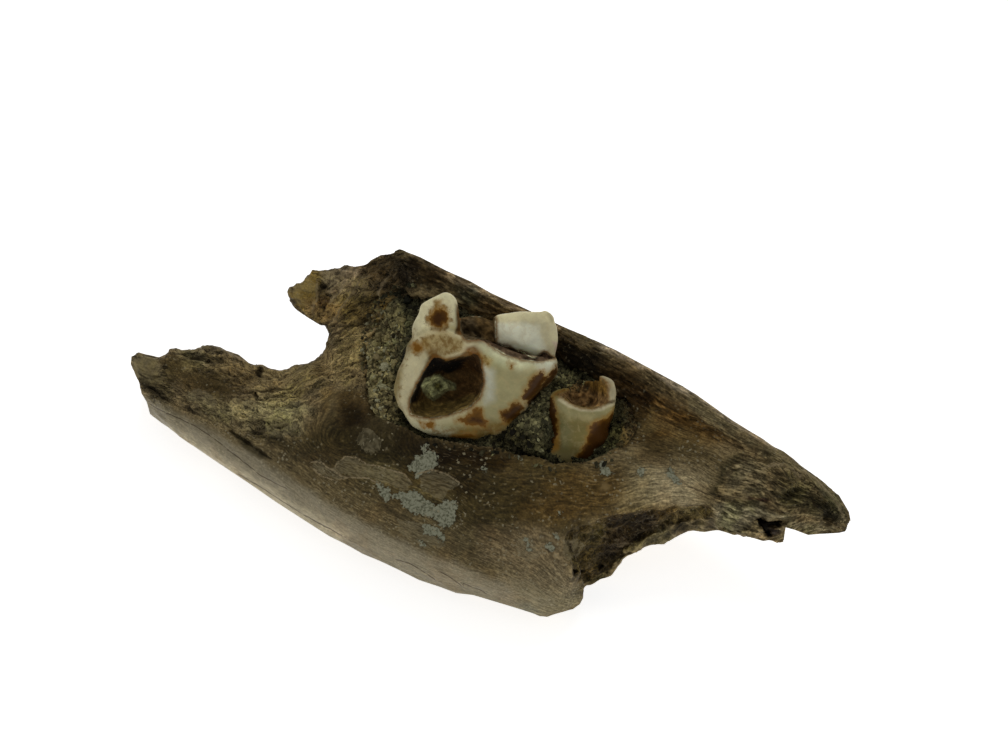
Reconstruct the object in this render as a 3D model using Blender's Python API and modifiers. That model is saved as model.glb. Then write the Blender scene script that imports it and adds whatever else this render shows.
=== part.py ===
"""A broken piece of a fossil kangaroo's lower jaw that still holds a large molar, a small tooth and the
sediment around them. It lies on a small flat spot of its underside.

The jaw runs along X, from the forked break at -X to the pointed end at +X. Its high rim is on the +Y
side, and the smooth near side slopes down towards -Y. All lengths up to the last step are millimetres,
with the table at z = 0; the last step turns them into metres."""

import bmesh
import bpy
import numpy as np
from mathutils import Matrix, Vector, noise

# Driving dimensions, in millimetres
MILLIMETRE = 0.001
REST_HEIGHT = 0.5
RIM_THICKNESS = 1.5
RIM_BEVEL = 0.9
TROUGH_FLOOR = 5.0
# The trough's wall is upright above its shoulder, and below it the outline shrinks to this share
TROUGH_SHOULDER = 10.0
TROUGH_FLOOR_SHARE = 0.82
SEDIMENT_FLOOR = 5.6
# Gaps between the sediment and what holds it or stands in it
TROUGH_WALL_GAP = 0.45
SOCKET_GAP = 0.42

# How far the blanks and cutters reach past what they shape
BREAK_REACH = 60
TROUGH_TOP = 24
SEDIMENT_BLANK_TOP = 18
TABLE_SLAB = (120, 80, 40)

# Voxel sizes of the remeshed surfaces
BONE_VOXEL = 0.42
TOOTH_VOXEL = 0.2
SEDIMENT_VOXEL = 0.34

# Where the jaw's sections stand along X
STATIONS = (-34, -30, -26.5, -23, -20, -17, -15, -13.4, -11, -7, -2, 3, 7, 10.5, 13, 15.2, 17.5, 21, 25,
            28, 30.6)

# How sharply the subdivided surface keeps an edge along a rail, from 0 to 1
RIM_SHARPNESS = 0.6
CREASE_SHARPNESS = 0.55

# Triangles left in each finished solid
BONE_TRIANGLES = 5400
MOLAR_TRIANGLES = 2200
SMALL_TOOTH_TRIANGLES = 900
SEDIMENT_TRIANGLES = 1400

# The lines that run along the jaw, as (x, y, z), from the rim round the far side and back over the near one
RIM_RAIL = 0
CREASE_RAIL = 6
RIM = ((-34, -2, 9), (-24, 1.6, 12.2), (-20.6, 3.5, 13.7), (-18, 4.4, 14.8), (-15.6, 4.6, 16),
       (-13.5, 6.6, 18.6), (-11, 6.7, 17.7), (-5, 6.9, 17.4), (2, 7.2, 17.1), (6, 7.7, 16.7),
       (9.5, 8.3, 16.2), (13.5, 8.7, 15.2), (17.7, 9, 13.8), (21.8, 9.4, 12.6), (24.5, 9.7, 11.7),
       (27.6, 9.5, 11), (30.4, 8.7, 9.6))
FAR_WALL = ((-34, -3, 6), (-25, 0, 7), (-20, 3.8, 8), (-13, 8.2, 9.6), (-5, 9.4, 10), (3, 9.8, 10),
            (9, 10.2, 9.6), (14, 10.4, 9), (18, 10.4, 8.6), (21, 10.4, 8.4), (25, 10.3, 8.2),
            (30.2, 8.8, 8.2))
HEEL = ((-34, -4, 3), (-25, -2, 3), (-20, 1.5, 3), (-13, 5.6, 1.4), (-5, 7, 0.6), (3, 7.4, 0.6),
        (9, 8, 1), (14, 8.6, 2.2), (18, 9.1, 3.6), (21, 9.4, 4.2), (25, 9.5, 5), (30.2, 8.5, 7.2))
UNDERSIDE = ((-34, -6, 1.2), (-25, -5.5, 0.4), (-11, -3, -0.3), (3, -2, -0.4), (9, 0, 0),
             (13.4, 1.6, 0.4), (15.2, 3.4, 3), (18, 5, 4), (21, 6.4, 4.4), (25, 7.6, 5), (30.6, 8.2, 7.4))
KEEL = ((-34, -9, 1.2), (-25, -9.8, 0.7), (-11, -10.8, 0.1), (-5, -10.8, -0.2), (3, -9.8, -0.2),
        (9, -8.6, 0), (13.4, -6.2, 0), (15.2, -1, 3.5), (18, 3, 5.4), (21, 4.6, 5.4), (25, 6.2, 5.7),
        (30.6, 7.8, 7.4))
VENTRAL_EDGE = ((-34, -10, 3), (-28.7, -10.8, 3), (-24.9, -11.9, 3), (-18.1, -12.5, 3), (-11.2, -13.2, 3),
                (-5, -13.3, 2.6), (-0.6, -13, 2.6), (3.4, -12.3, 2.6), (8.6, -11.2, 2.8),
                (13.5, -9.6, 2.8), (15, -5, 2.6), (18, 0.6, 5.2), (21, 3.6, 6), (25, 5.6, 6.2),
                (30.2, 7.2, 7.4))
CREASE = ((-34, -10.2, 5), (-28, -10.9, 5.3), (-21.4, -11.3, 6.1), (-15.6, -12, 6.8), (-11, -12.5, 7.2),
          (-5.4, -13, 7.3), (1, -12.6, 7.2), (7, -11.4, 6.8), (13.5, -9, 6), (15, -4, 6.4), (18, 1, 7),
          (21, 3.6, 7.4), (25, 5.4, 7.3), (30.2, 7, 7.9))
NEAR_FACE = ((-34, -9.4, 6.6), (-24, -8.4, 7.5), (-13, -8.5, 8.4), (-4, -8.8, 9.4), (3, -7.6, 9.7),
             (9, -5.4, 9.8), (13.5, -3.4, 9.5), (17, 1, 9.2), (21, 3.8, 8.9), (25, 5.4, 8.6),
             (30.2, 7, 8.4))
LIP = ((-34, -8, 7.8), (-24, -5.8, 8.5), (-18, -4.6, 8.6), (-13, -4.8, 9.4), (-8, -5.8, 10.9),
       (-2.6, -5.4, 11.3), (3, -3.4, 11.3), (8.6, -1.5, 11.2), (11, 0.4, 11), (13.5, 1.2, 10.3),
       (17, 2.8, 9.9), (21, 4.8, 10.2), (25, 6.4, 10), (30.2, 7.2, 8.9))
TROUGH_NEAR = ((-34, -6.4, 8.3), (-24, -4, 8.6), (-19, -2, 9), (-15, -1.2, 10), (-9, 0, 12),
               (0, 1.2, 12.4), (6, 2, 12), (10.5, 2.6, 11.3), (13.5, 3.4, 10.7), (17, 5, 10.3),
               (21, 6.3, 11.1), (25, 7.4, 11), (30.2, 7.6, 9.2))
TROUGH_FAR = ((-34, -5, 8.5), (-24, -2.4, 9), (-19, 0.6, 10.8), (-15, 2.5, 12.2), (-9, 4.8, 13.6),
              (0, 5.5, 13.8), (6, 5.9, 13.3), (10.5, 5.8, 12.2), (13.5, 6, 12), (17, 6.9, 11.5),
              (21, 7.8, 11.7), (25, 8.4, 11.2), (30.2, 8, 9.3))
RAILS_AFTER_RIM = (FAR_WALL, HEEL, UNDERSIDE, KEEL, VENTRAL_EDGE, CREASE, NEAR_FACE, LIP, TROUGH_NEAR,
                   TROUGH_FAR)

# The photographed side is seen along this line, and the forked break at the left end is cut along it
SIGHT_LINE = Vector((0.359, -0.533, 0.766))
LEFT_BREAK = ((-28.6, -11.2, 3), (-29.4, -10.4, 3), (-30.4, -9.6, 4), (-30.4, -9, 5.6), (-29.6, -8.2, 7),
              (-28.8, -7.4, 7.5), (-27.9, -7.2, 8), (-25.7, -5.8, 8.5), (-23, -5, 8.5),
              (-21.2, -5.1, 8.5), (-18.5, -4.4, 8.5), (-17.8, -3.4, 8.8), (-16.8, -2.7, 9),
              (-16.5, -1.5, 9.4), (-16.5, -0.1, 9.6), (-17.5, 0.8, 10.3), (-18.7, 0.3, 10.8),
              (-20.2, 0.2, 11.3), (-21.5, 0.8, 12), (-21.3, 1.4, 12.5), (-20.6, 3, 13),
              (-19.8, 3.9, 13.5), (-26, 14, 13.5), (-46, 2, 8), (-46, -14, 3), (-33, -16, 3))

# The steep break below the right end leans outwards going down; its outline is given at one height
RIGHT_BREAK_LEAN = Vector((0.2, 0.1, -1))
RIGHT_BREAK_HEIGHT = 8
RIGHT_BREAK = ((45, -30), (11.8, -30), (12, -9.4), (12.6, -7.6), (12.4, -6.4), (11.2, -5.6), (10.8, -4.8),
               (11.8, -3.3), (13.5, -1.8), (15.3, 0), (17.5, 2), (19.1, 3.1), (20.5, 3.3), (22.5, 3.5),
               (25, 4.6), (25.2, 6.4), (27, 7.3), (30, 8.5), (45, 10))

# The tooth trough seen from above
TROUGH = ((-12.6, 1), (-11.6, -1.2), (-9.8, -3.6), (-8.2, -5), (-5.5, -5.5), (-2.8, -5.1), (0.3, -3.8),
          (2.6, -2.9), (5.3, -2.3), (7.6, -1.8), (9.2, -0.6), (10.3, 1.1), (11.2, 3.2), (11.2, 5),
          (9.4, 6), (5, 6), (0, 5.6), (-5, 5.3), (-9.5, 5), (-12.4, 3.6))

# Height of the sediment in the trough: (x, y, z)
SEDIMENT_TOP = ((-12.4, 1, 11.6), (-11, 4.4, 14.6), (-9, -3.8, 11), (-7, 5, 15.4), (-6, -5.2, 10.7),
                (0, -3.8, 10.7), (-2, 5.2, 15.4), (2, 5.4, 14.6), (4.2, 0.6, 12.8), (4.6, 3, 13.4),
                (5, -1.8, 10.4), (5.5, 5.6, 14), (7.8, -1.2, 10.2), (10, 1.6, 11), (10.8, 4.6, 12),
                (9.2, 5.6, 13.2))

# Rounded forms of the molar, each the hull of balls (x, y, z, radius)
MOLAR_BODY = ((-6.5, -1, 14.9, 0.7), (-6.8, -1.9, 13.9, 0.8), (-6.6, -2.9, 12.8, 0.8),
              (-5.8, -3.6, 12, 0.8), (-4.6, -3.9, 11.5, 0.8), (-3.2, -3.6, 11.2, 0.8),
              (-0.3, -2.1, 11.2, 0.8), (0.9, -0.9, 11.4, 0.8), (1.3, 1, 11.9, 0.8), (2, 3.8, 13.2, 0.8),
              (-0.5, 4, 14.6, 0.8), (-4, 3.3, 14.6, 0.8), (-6.8, 1.6, 14.8, 0.8), (-6.9, 0, 15.3, 0.7),
              (-2.1, 1.2, 17.2, 0.4), (-0.7, 1.3, 17.3, 0.4), (1.4, 1.8, 17, 0.4), (3, 2.6, 16.5, 0.4))
MOLAR_ROOTS = ((-5, -1.6, 7.3, 1.2), (0, 0, 7.3, 1.2), (0.4, 2.4, 7.3, 1.2), (-5, 1.6, 7.3, 1.2),
               (-5, -2.4, 11.5, 1.2), (0, -1, 11.5, 1.2), (1, 2.8, 12, 1.2), (-5, 2.2, 12, 1.2))
MOLAR_HORN = ((-6.2, 2.8, 18.9, 0.55), (-5.8, 2.8, 18.7, 0.55), (-6.8, 2.3, 18.3, 0.6),
              (-7.2, 1.6, 17.5, 0.6), (-5.4, 2.4, 17.9, 0.55), (-7.3, 0.7, 16.3, 0.7),
              (-5.1, 1.8, 16.6, 0.7), (-6.4, 2.6, 15, 0.9))
MOLAR_SHOULDER = ((-6.6, -0.1, 15.9, 0.6), (-6, 0.3, 16.4, 0.6), (-5.1, 0.7, 16.7, 0.6),
                  (-4, 0.8, 16.9, 0.6), (-3.2, 0.9, 16.9, 0.5), (-5, 0.6, 14, 1))
MOLAR_RIDGE = ((-3.4, 0.9, 17, 0.5), (-2.1, 1.2, 17.4, 0.45), (-0.7, 1.3, 17.4, 0.45),
               (1.4, 1.8, 17.1, 0.45), (3, 2.6, 16.6, 0.45), (3.4, 3.9, 16.2, 0.45),
               (2.4, 3.4, 14.6, 0.8), (-2, 1.4, 14, 1))
MOLAR_BLADE = ((-1.6, 3.4, 18.8, 0.3), (0.1, 4.7, 19.1, 0.3), (1.7, 5.6, 19.2, 0.3),
               (2.5, 5.5, 18.6, 0.3), (-0.9, 2.7, 17, 0.3), (1.3, 3.2, 16.7, 0.3), (2.4, 4, 16.6, 0.3),
               (3, 4.4, 16.5, 0.3), (3, 4.9, 17.6, 0.3), (-1.4, 4.2, 14.2, 0.5), (1.6, 4.8, 14.2, 0.5),
               (2.4, 4.4, 14.2, 0.5))
MOLAR_CORE = ((-4.7, 3.3, 16.2, 0.6), (-3.8, 3.7, 16.5, 0.6), (-2.6, 3.8, 16.6, 0.6),
              (-1.6, 3.4, 16.6, 0.5), (-3.4, 3, 14.5, 1))

# What is broken or worn out of the molar
MOLAR_BASIN = ((-5, -1.4, 15.3), (-4.4, -0.8, 15.8), (-3.6, -0.2, 16.2), (-2.6, 0.8, 16.8),
               (-1.8, 0.9, 16.2), (-1.1, 0.5, 14.6), (-0.9, -0.2, 13.6), (-1.2, -1.3, 12.9),
               (-2.2, -2.6, 12.3), (-3.2, -3.5, 11.9), (-4.9, -4.2, 11.5), (-5.6, -3.6, 12.2),
               (-5.5, -2.4, 13.6))
MOLAR_BASIN_INWARD = Vector((-0.3, 0.5, -0.8))
MOLAR_BASIN_DEPTH = 2
CUP_FLOOR_SHARE = 0.6
CUP_MOUTH_REACH = 2.5
MOLAR_GROOVE = ((-1.1, 2.1, 18.4, 0.3), (1.1, 2.5, 18, 0.3), (2.7, 3.6, 17.5, 0.3),
                (-1.1, 2.3, 16.4, 0.3), (1.2, 2.7, 16, 0.3), (2.6, 3.8, 16, 0.3))
MOLAR_CORE_PIT = ((-4.3, 2.3, 17.6, 0.5), (-3.2, 2.5, 17.8, 0.5), (-4.2, 2.6, 16.2, 0.4),
                  (-2.9, 2.7, 16.3, 0.4))

# The small tooth: an enamel wall with a tall far corner, open at the back
SMALL_TOOTH_BODY = ((5.6, 1.2, 10.3, 0.5), (6.4, 0.4, 9.9, 0.5), (7.4, 0.4, 9.9, 0.5),
                    (8.1, 1.4, 10.1, 0.5), (8.5, 3, 10.4, 0.5), (8.4, 4.4, 11, 0.5),
                    (6.2, 4.2, 10.8, 0.5), (4.8, 2.4, 14.3, 0.35), (6.7, 1.8, 14.4, 0.35),
                    (8.1, 2, 14.6, 0.35), (9.1, 2.7, 14.9, 0.35), (9.4, 3.5, 15.1, 0.35),
                    (8.6, 4.6, 15, 0.35), (6.6, 4.6, 14.4, 0.35), (6.6, 2, 7, 0.9), (7.4, 3, 7, 0.9))
SMALL_TOOTH_CORNER = ((7.9, 4.5, 16.3, 0.35), (8.7, 4.4, 16.5, 0.4), (9.3, 3.9, 16.1, 0.35),
                      (8.8, 3.9, 13, 0.6), (8, 4.4, 13.6, 0.6))
SMALL_TOOTH_PIT = ((5, 2.7, 14.4), (6.5, 2, 14.6), (7.8, 2.2, 14.8), (8.7, 2.9, 15.1), (8.6, 3.6, 15.6),
                   (7.8, 4.2, 16), (7.1, 5.4, 15.8), (5.8, 5.4, 15), (5, 4.2, 14.6))
SMALL_TOOTH_PIT_INWARD = Vector((-0.1, 0.2, -1))
SMALL_TOOTH_PIT_DEPTH = 1.5

# Mineral lumps grown on the two broken tips, as (x, y, z) and the three radii
TIP_LUMPS = (((-30.1, -8.6, 5.8), (1.5, 1.1, 1.3)), ((-20.2, 1.5, 12.2), (1.2, 1.2, 1.3)),
             ((-21, 0.9, 12.2), (0.7, 0.7, 0.8)))

# Hollows and swellings of the bone: centre, radius, push
BONE_STROKES = (
    ((-22, -6.6, 8.4), 4.5, (0, 0.1, -0.5)),
    ((-14, -2.6, 9.8), 4, (0, 0.2, -0.6)),
    ((-13.4, -7, 8.6), 3.5, (0, -0.1, 0.35)),
    ((-6.6, -6.4, 10.6), 3, (0, -0.2, 0.5)),
    ((-17.6, 2.2, 13.6), 1.8, (0, -0.2, 0.7)),
    ((-15.2, 3.6, 15), 1.6, (0, 0.3, -0.8)),
    ((13, 3.8, 11.4), 2.4, (0, 0.3, -0.6)),
    ((18.6, 4.6, 10.2), 1.6, (0, 0.1, -0.4)),
    ((24, 7.2, 11.6), 3, (0, -0.2, 0.6)),
    ((26, 7.2, 10.4), 1.3, (0, 0.2, -0.5)),
    ((24, 5.2, 6.9), 1.1, (0, 0.9, -0.1)),
)

# Where the bone is broken open and spongy: centre and radius
SPONGY_ZONES = (((-27, -7.4, 8), 5), ((-21, -6, 8), 5), ((-15, -2, 10), 5.5), ((-17, 3.4, 14), 5),
                ((13, -3, 5), 4.5), ((17, 1.4, 7), 4), ((24, 6, 9), 5), ((28, 8, 9), 3))
SPONGY_RELIEF = 0.5
BONE_RELIEF = 0.14
SEDIMENT_RELIEF = 0.3
# A spongy zone fades out over this many of its radii
ZONE_SPREAD = 1.6
# Scale of the relief along X, Y and Z: lower along the jaw, where the bone's fibres run
FIBRE_SCALE = (0.45, 0.75, 0.75)
LUMP_SCALE = 0.8
# Roughness, lacunarity and octaves of the fractal relief
FRACTAL = (0.9, 2.1, 3)
# How the known heights of the sediment blend: reach of each place, and how fast it fades
HEIGHT_REACH = 0.4
HEIGHT_FADE = 1.5

# Name, colour and roughness of each part's material
FINISHES = {
    "jaw_bone": ("brown_fossil_bone", (0.12, 0.08, 0.05), 0.6),
    "molar": ("cream_enamel", (0.62, 0.56, 0.42), 0.25),
    "small_tooth": ("worn_cream_enamel", (0.58, 0.51, 0.37), 0.3),
    "sediment": ("grey_green_sediment", (0.2, 0.2, 0.15), 0.9),
}

COLLECTION = "fossil_jaw_fragment"
CUTTERS = "cutters"


def clear_scene():
    for obj in list(bpy.data.objects):
        bpy.data.objects.remove(obj, do_unlink=True)


def new_collection(name):
    collection = bpy.data.collections.new(name)
    bpy.context.scene.collection.children.link(collection)
    return collection


def new_object(name, bm, collection):
    bmesh.ops.recalc_face_normals(bm, faces=bm.faces[:])
    mesh = bpy.data.meshes.new(name)
    bm.to_mesh(mesh)
    bm.free()
    obj = bpy.data.objects.new(name, mesh)
    collection.objects.link(obj)
    return obj


def cutter_object(name, bm):
    obj = new_object(name, bm, bpy.data.collections[CUTTERS])
    obj.display_type = "WIRE"
    obj.hide_render = True
    return obj


def modified(obj, kind, **settings):
    """Adds one modifier, gives it its settings and applies it to the mesh."""
    modifier = obj.modifiers.new(kind.title(), kind)
    for setting, value in settings.items():
        setattr(modifier, setting, value)
    bpy.context.view_layer.update()
    evaluated = obj.evaluated_get(bpy.context.evaluated_depsgraph_get())
    mesh = bpy.data.meshes.new_from_object(evaluated)
    obj.modifiers.clear()
    obj.data = mesh
    return obj


def boolean(obj, other, operation):
    return modified(obj, "BOOLEAN", object=other, operation=operation, solver="EXACT")


def remeshed(obj, voxel, smoothing):
    modified(obj, "REMESH", mode="VOXEL", voxel_size=voxel)
    if smoothing:
        modified(obj, "SMOOTH", factor=0.5, iterations=smoothing)
    return obj


def reduced(obj, triangles):
    """Collapses edges until about this many triangles are left."""
    obj.data.calc_loop_triangles()
    share = min(1.0, triangles / len(obj.data.loop_triangles))
    return modified(obj, "DECIMATE", ratio=share, use_collapse_triangulate=True)


def largest_island(obj):
    """Keeps the biggest connected part of a mesh."""
    bm = bmesh.new()
    bm.from_mesh(obj.data)
    unseen = set(bm.verts)
    islands = []
    while unseen:
        seed = unseen.pop()
        island = [seed]
        queue = [seed]
        while queue:
            for edge in queue.pop().link_edges:
                for vert in edge.verts:
                    if vert in unseen:
                        unseen.discard(vert)
                        island.append(vert)
                        queue.append(vert)
        islands.append(island)
    keep = set(max(islands, key=len))
    bmesh.ops.delete(bm, geom=[vert for vert in bm.verts if vert not in keep], context="VERTS")
    bm.to_mesh(obj.data)
    bm.free()
    return obj


def along(rail, x):
    """The (y, z) of a rail at one place along the jaw."""
    points = np.array(rail, float)
    return np.interp(x, points[:, 0], points[:, 1]), np.interp(x, points[:, 0], points[:, 2])


def jaw_section(x):
    """The closed section of the jaw at x, from the rim down the far side and back over the near one."""
    rim_y, rim_z = along(RIM, x)
    section = [Vector((x, rim_y, rim_z))]
    for rail in RAILS_AFTER_RIM:
        section.append(Vector((x, *along(rail, x))))
    section.append(Vector((x, rim_y - RIM_THICKNESS, rim_z - RIM_BEVEL)))
    return section


def jaw_cage():
    """Unlike sections joined by quads: the coarse cage of the jaw."""
    bm = bmesh.new()
    rings = [[bm.verts.new(point) for point in jaw_section(x)] for x in STATIONS]
    sharpness = bm.edges.layers.float.new("crease_edge")
    for ring, following in zip(rings, rings[1:]):
        for here in range(len(ring)):
            beside = (here + 1) % len(ring)
            bm.faces.new((ring[here], ring[beside], following[beside], following[here]))
        for rail, value in ((RIM_RAIL, RIM_SHARPNESS), (CREASE_RAIL, CREASE_SHARPNESS)):
            bm.edges.get((ring[rail], following[rail]))[sharpness] = value
    bm.faces.new(rings[0])
    bm.faces.new(rings[-1])
    return new_object("jaw_bone", bm, bpy.data.collections[COLLECTION])


def add_ball(bm, centre, radii, detail=2):
    matrix = Matrix.Translation(centre) @ Matrix.Diagonal((*radii, 1))
    bmesh.ops.create_icosphere(bm, subdivisions=detail, radius=1, matrix=matrix)


def add_ball_hull(bm, balls):
    """A rounded form: the hull of several balls, added to the mesh as one closed shell."""
    form = bmesh.new()
    for x, y, z, radius in balls:
        add_ball(form, (x, y, z), (radius, radius, radius))
    hull = bmesh.ops.convex_hull(form, input=form.verts[:])
    inside = [part for part in hull["geom_interior"] if isinstance(part, bmesh.types.BMVert)]
    bmesh.ops.delete(form, geom=inside, context="VERTS")
    bmesh.ops.recalc_face_normals(form, faces=form.faces[:])
    shell = bpy.data.meshes.new("shell")
    form.to_mesh(shell)
    form.free()
    bm.from_mesh(shell)
    bpy.data.meshes.remove(shell)


def stacked_rings(levels):
    """A closed mesh of rings of equally many points, one level joined to the next, with flat ends."""
    bm = bmesh.new()
    rings = [[bm.verts.new(point) for point in level] for level in levels]
    for ring, following in zip(rings, rings[1:]):
        for here in range(len(ring)):
            beside = (here + 1) % len(ring)
            bm.faces.new((ring[here], ring[beside], following[beside], following[here]))
    caps = [bm.faces.new(rings[0]), bm.faces.new(rings[-1])]
    bmesh.ops.triangulate(bm, faces=caps)
    return bm


def prism_cutter(name, outline, direction):
    """A cutter whose outline is swept both ways along one direction."""
    sweep = direction * BREAK_REACH
    near = [Vector(point) + sweep for point in outline]
    far = [Vector(point) - sweep for point in outline]
    return cutter_object(name, stacked_rings((near, far)))


def inset_outline(outline, distance):
    """The outline moved inwards along the mean normal of its neighbouring edges."""
    points = np.array(outline, float)
    along_edge = np.roll(points, -1, axis=0) - np.roll(points, 1, axis=0)
    inwards = np.stack([-along_edge[:, 1], along_edge[:, 0]], axis=1)
    inwards /= np.linalg.norm(inwards, axis=1, keepdims=True)
    if np.dot(inwards[0], points.mean(axis=0) - points[0]) < 0:
        inwards = -inwards
    return points + inwards * distance


def trough_fill(distance, floor, top):
    """The trough's space, moved in from its wall, between two heights."""
    outline = inset_outline(TROUGH, distance)
    middle = outline.mean(axis=0)
    lower = [(*(middle + (point - middle) * TROUGH_FLOOR_SHARE), floor) for point in outline]
    shoulder = [(*point, TROUGH_SHOULDER) for point in outline]
    upper = [(*point, top) for point in outline]
    return stacked_rings((lower, shoulder, upper))


def cup_cutter(name, outline, inward, depth):
    """A cutter with the outline at its mouth and a smaller copy of it at its floor."""
    points = [Vector(point) for point in outline]
    middle = sum(points, Vector()) / len(points)
    bm = bmesh.new()
    for point in points:
        bm.verts.new(point - inward * CUP_MOUTH_REACH)
        bm.verts.new(point)
        bm.verts.new(middle + (point - middle) * CUP_FLOOR_SHARE + inward * depth)
    hull = bmesh.ops.convex_hull(bm, input=bm.verts[:])
    inside = [part for part in hull["geom_interior"] if isinstance(part, bmesh.types.BMVert)]
    bmesh.ops.delete(bm, geom=inside, context="VERTS")
    return cutter_object(name, bm)


def hull_cutter(name, balls):
    bm = bmesh.new()
    add_ball_hull(bm, balls)
    return cutter_object(name, bm)


def falloff(distance, radius):
    """1 at the centre, 0 at the radius, with a smooth run between."""
    share = np.clip(1 - distance / radius, 0, 1)
    return share * share * (3 - 2 * share)


def vertices_of(obj):
    points = np.empty(len(obj.data.vertices) * 3)
    obj.data.vertices.foreach_get("co", points)
    return points.reshape(-1, 3)


def set_vertices(obj, points):
    obj.data.vertices.foreach_set("co", points.astype(np.float32).ravel())
    obj.data.update()


def sculpt(obj, strokes):
    """Pushes the points near each stroke's centre."""
    points = vertices_of(obj)
    for centre, radius, push in strokes:
        weight = falloff(np.linalg.norm(points - np.array(centre), axis=1), radius)
        points += weight[:, None] * np.array(push)
    set_vertices(obj, points)


def roughen(obj, zones):
    """Moves the points along their normals by fractal noise, most of all in the spongy zones."""
    points = vertices_of(obj)
    normals = np.array([vertex.normal[:] for vertex in obj.data.vertices])
    inside = np.zeros(len(points))
    for centre, radius in zones:
        distance = np.linalg.norm(points - np.array(centre), axis=1)
        inside = np.maximum(inside, falloff(distance, radius * ZONE_SPREAD))
    strength = BONE_RELIEF + (SPONGY_RELIEF - BONE_RELIEF) * np.clip(inside * ZONE_SPREAD, 0, 1)
    lift = np.array([noise.fractal(Vector(point) * Vector(FIBRE_SCALE), *FRACTAL) for point in points])
    set_vertices(obj, points + normals * (lift * strength)[:, None])


def make_jaw_bone():
    """The bone: a lofted cage, rounded, broken at both ends, hollowed for the teeth and roughened."""
    bone = jaw_cage()
    modified(bone, "SUBSURF", levels=2, render_levels=2)
    boolean(bone, prism_cutter("left_break", LEFT_BREAK, SIGHT_LINE), "DIFFERENCE")
    outline = [(x, y, RIGHT_BREAK_HEIGHT) for x, y in RIGHT_BREAK]
    boolean(bone, prism_cutter("right_break", outline, RIGHT_BREAK_LEAN), "DIFFERENCE")
    lumps = bmesh.new()
    lumps.from_mesh(bone.data)
    for centre, radii in TIP_LUMPS:
        add_ball(lumps, centre, radii, detail=3)
    lumps.to_mesh(bone.data)
    lumps.free()
    remeshed(bone, BONE_VOXEL, 2)
    sculpt(bone, BONE_STROKES)
    roughen(bone, SPONGY_ZONES)
    trough = cutter_object("tooth_trough", trough_fill(0, TROUGH_FLOOR, TROUGH_TOP))
    boolean(bone, trough, "DIFFERENCE")
    remeshed(bone, BONE_VOXEL, 1)
    largest_island(bone)
    return reduced(bone, BONE_TRIANGLES)


def make_molar():
    """The large tooth: hulls of balls joined by a remesh, with its basin, groove and worn core cut out."""
    bm = bmesh.new()
    for form in (MOLAR_BODY, MOLAR_ROOTS, MOLAR_HORN, MOLAR_SHOULDER, MOLAR_RIDGE, MOLAR_BLADE, MOLAR_CORE):
        add_ball_hull(bm, form)
    molar = new_object("molar", bm, bpy.data.collections[COLLECTION])
    remeshed(molar, TOOTH_VOXEL, 3)
    basin = cup_cutter("molar_basin", MOLAR_BASIN, MOLAR_BASIN_INWARD, MOLAR_BASIN_DEPTH)
    boolean(molar, basin, "DIFFERENCE")
    boolean(molar, hull_cutter("molar_groove", MOLAR_GROOVE), "DIFFERENCE")
    boolean(molar, hull_cutter("molar_core_pit", MOLAR_CORE_PIT), "DIFFERENCE")
    remeshed(molar, TOOTH_VOXEL, 2)
    largest_island(molar)
    return reduced(molar, MOLAR_TRIANGLES)


def make_small_tooth():
    """The small tooth beside it: a short enamel wall with a broken, hollow top."""
    bm = bmesh.new()
    for form in (SMALL_TOOTH_BODY, SMALL_TOOTH_CORNER):
        add_ball_hull(bm, form)
    tooth = new_object("small_tooth", bm, bpy.data.collections[COLLECTION])
    remeshed(tooth, TOOTH_VOXEL, 2)
    pit = cup_cutter("small_tooth_pit", SMALL_TOOTH_PIT, SMALL_TOOTH_PIT_INWARD, SMALL_TOOTH_PIT_DEPTH)
    boolean(tooth, pit, "DIFFERENCE")
    remeshed(tooth, TOOTH_VOXEL, 1)
    largest_island(tooth)
    return reduced(tooth, SMALL_TOOTH_TRIANGLES)


def socket_cutter(name, tooth):
    """The tooth grown by the gap that the sediment keeps from it."""
    bm = bmesh.new()
    bm.from_mesh(tooth.data)
    socket = cutter_object(name, bm)
    remeshed(socket, SEDIMENT_VOXEL, 0)
    modified(socket, "DISPLACE", strength=SOCKET_GAP, mid_level=0)
    return remeshed(socket, SEDIMENT_VOXEL, 0)


def sediment_height(x, y):
    """The height of the sediment at (x, y), weighted from the places where it is known."""
    known = np.array(SEDIMENT_TOP, float)
    weight = 1 / (HEIGHT_REACH + np.sum((known[:, :2] - (x, y)) ** 2, axis=1)) ** HEIGHT_FADE
    return float(np.sum(weight * known[:, 2]) / np.sum(weight))


def make_sediment(teeth):
    """The hardened sediment: it fills the trough up to an uneven top and keeps clear of the teeth."""
    blank = trough_fill(TROUGH_WALL_GAP, SEDIMENT_FLOOR, SEDIMENT_BLANK_TOP)
    sediment = new_object("sediment", blank, bpy.data.collections[COLLECTION])
    remeshed(sediment, SEDIMENT_VOXEL, 0)
    points = vertices_of(sediment)
    for index, (x, y, z) in enumerate(points):
        if z > TROUGH_SHOULDER:
            lump = noise.fractal(Vector((x, y, 0)) * LUMP_SCALE, *FRACTAL) * SEDIMENT_RELIEF
            share = (z - TROUGH_SHOULDER) / (SEDIMENT_BLANK_TOP - TROUGH_SHOULDER)
            points[index, 2] = TROUGH_SHOULDER + share * (sediment_height(x, y) + lump - TROUGH_SHOULDER)
    set_vertices(sediment, points)
    for tooth in teeth:
        boolean(sediment, socket_cutter(tooth.name + "_socket", tooth), "DIFFERENCE")
    remeshed(sediment, SEDIMENT_VOXEL, 0)
    largest_island(sediment)
    return reduced(sediment, SEDIMENT_TRIANGLES)


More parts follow.
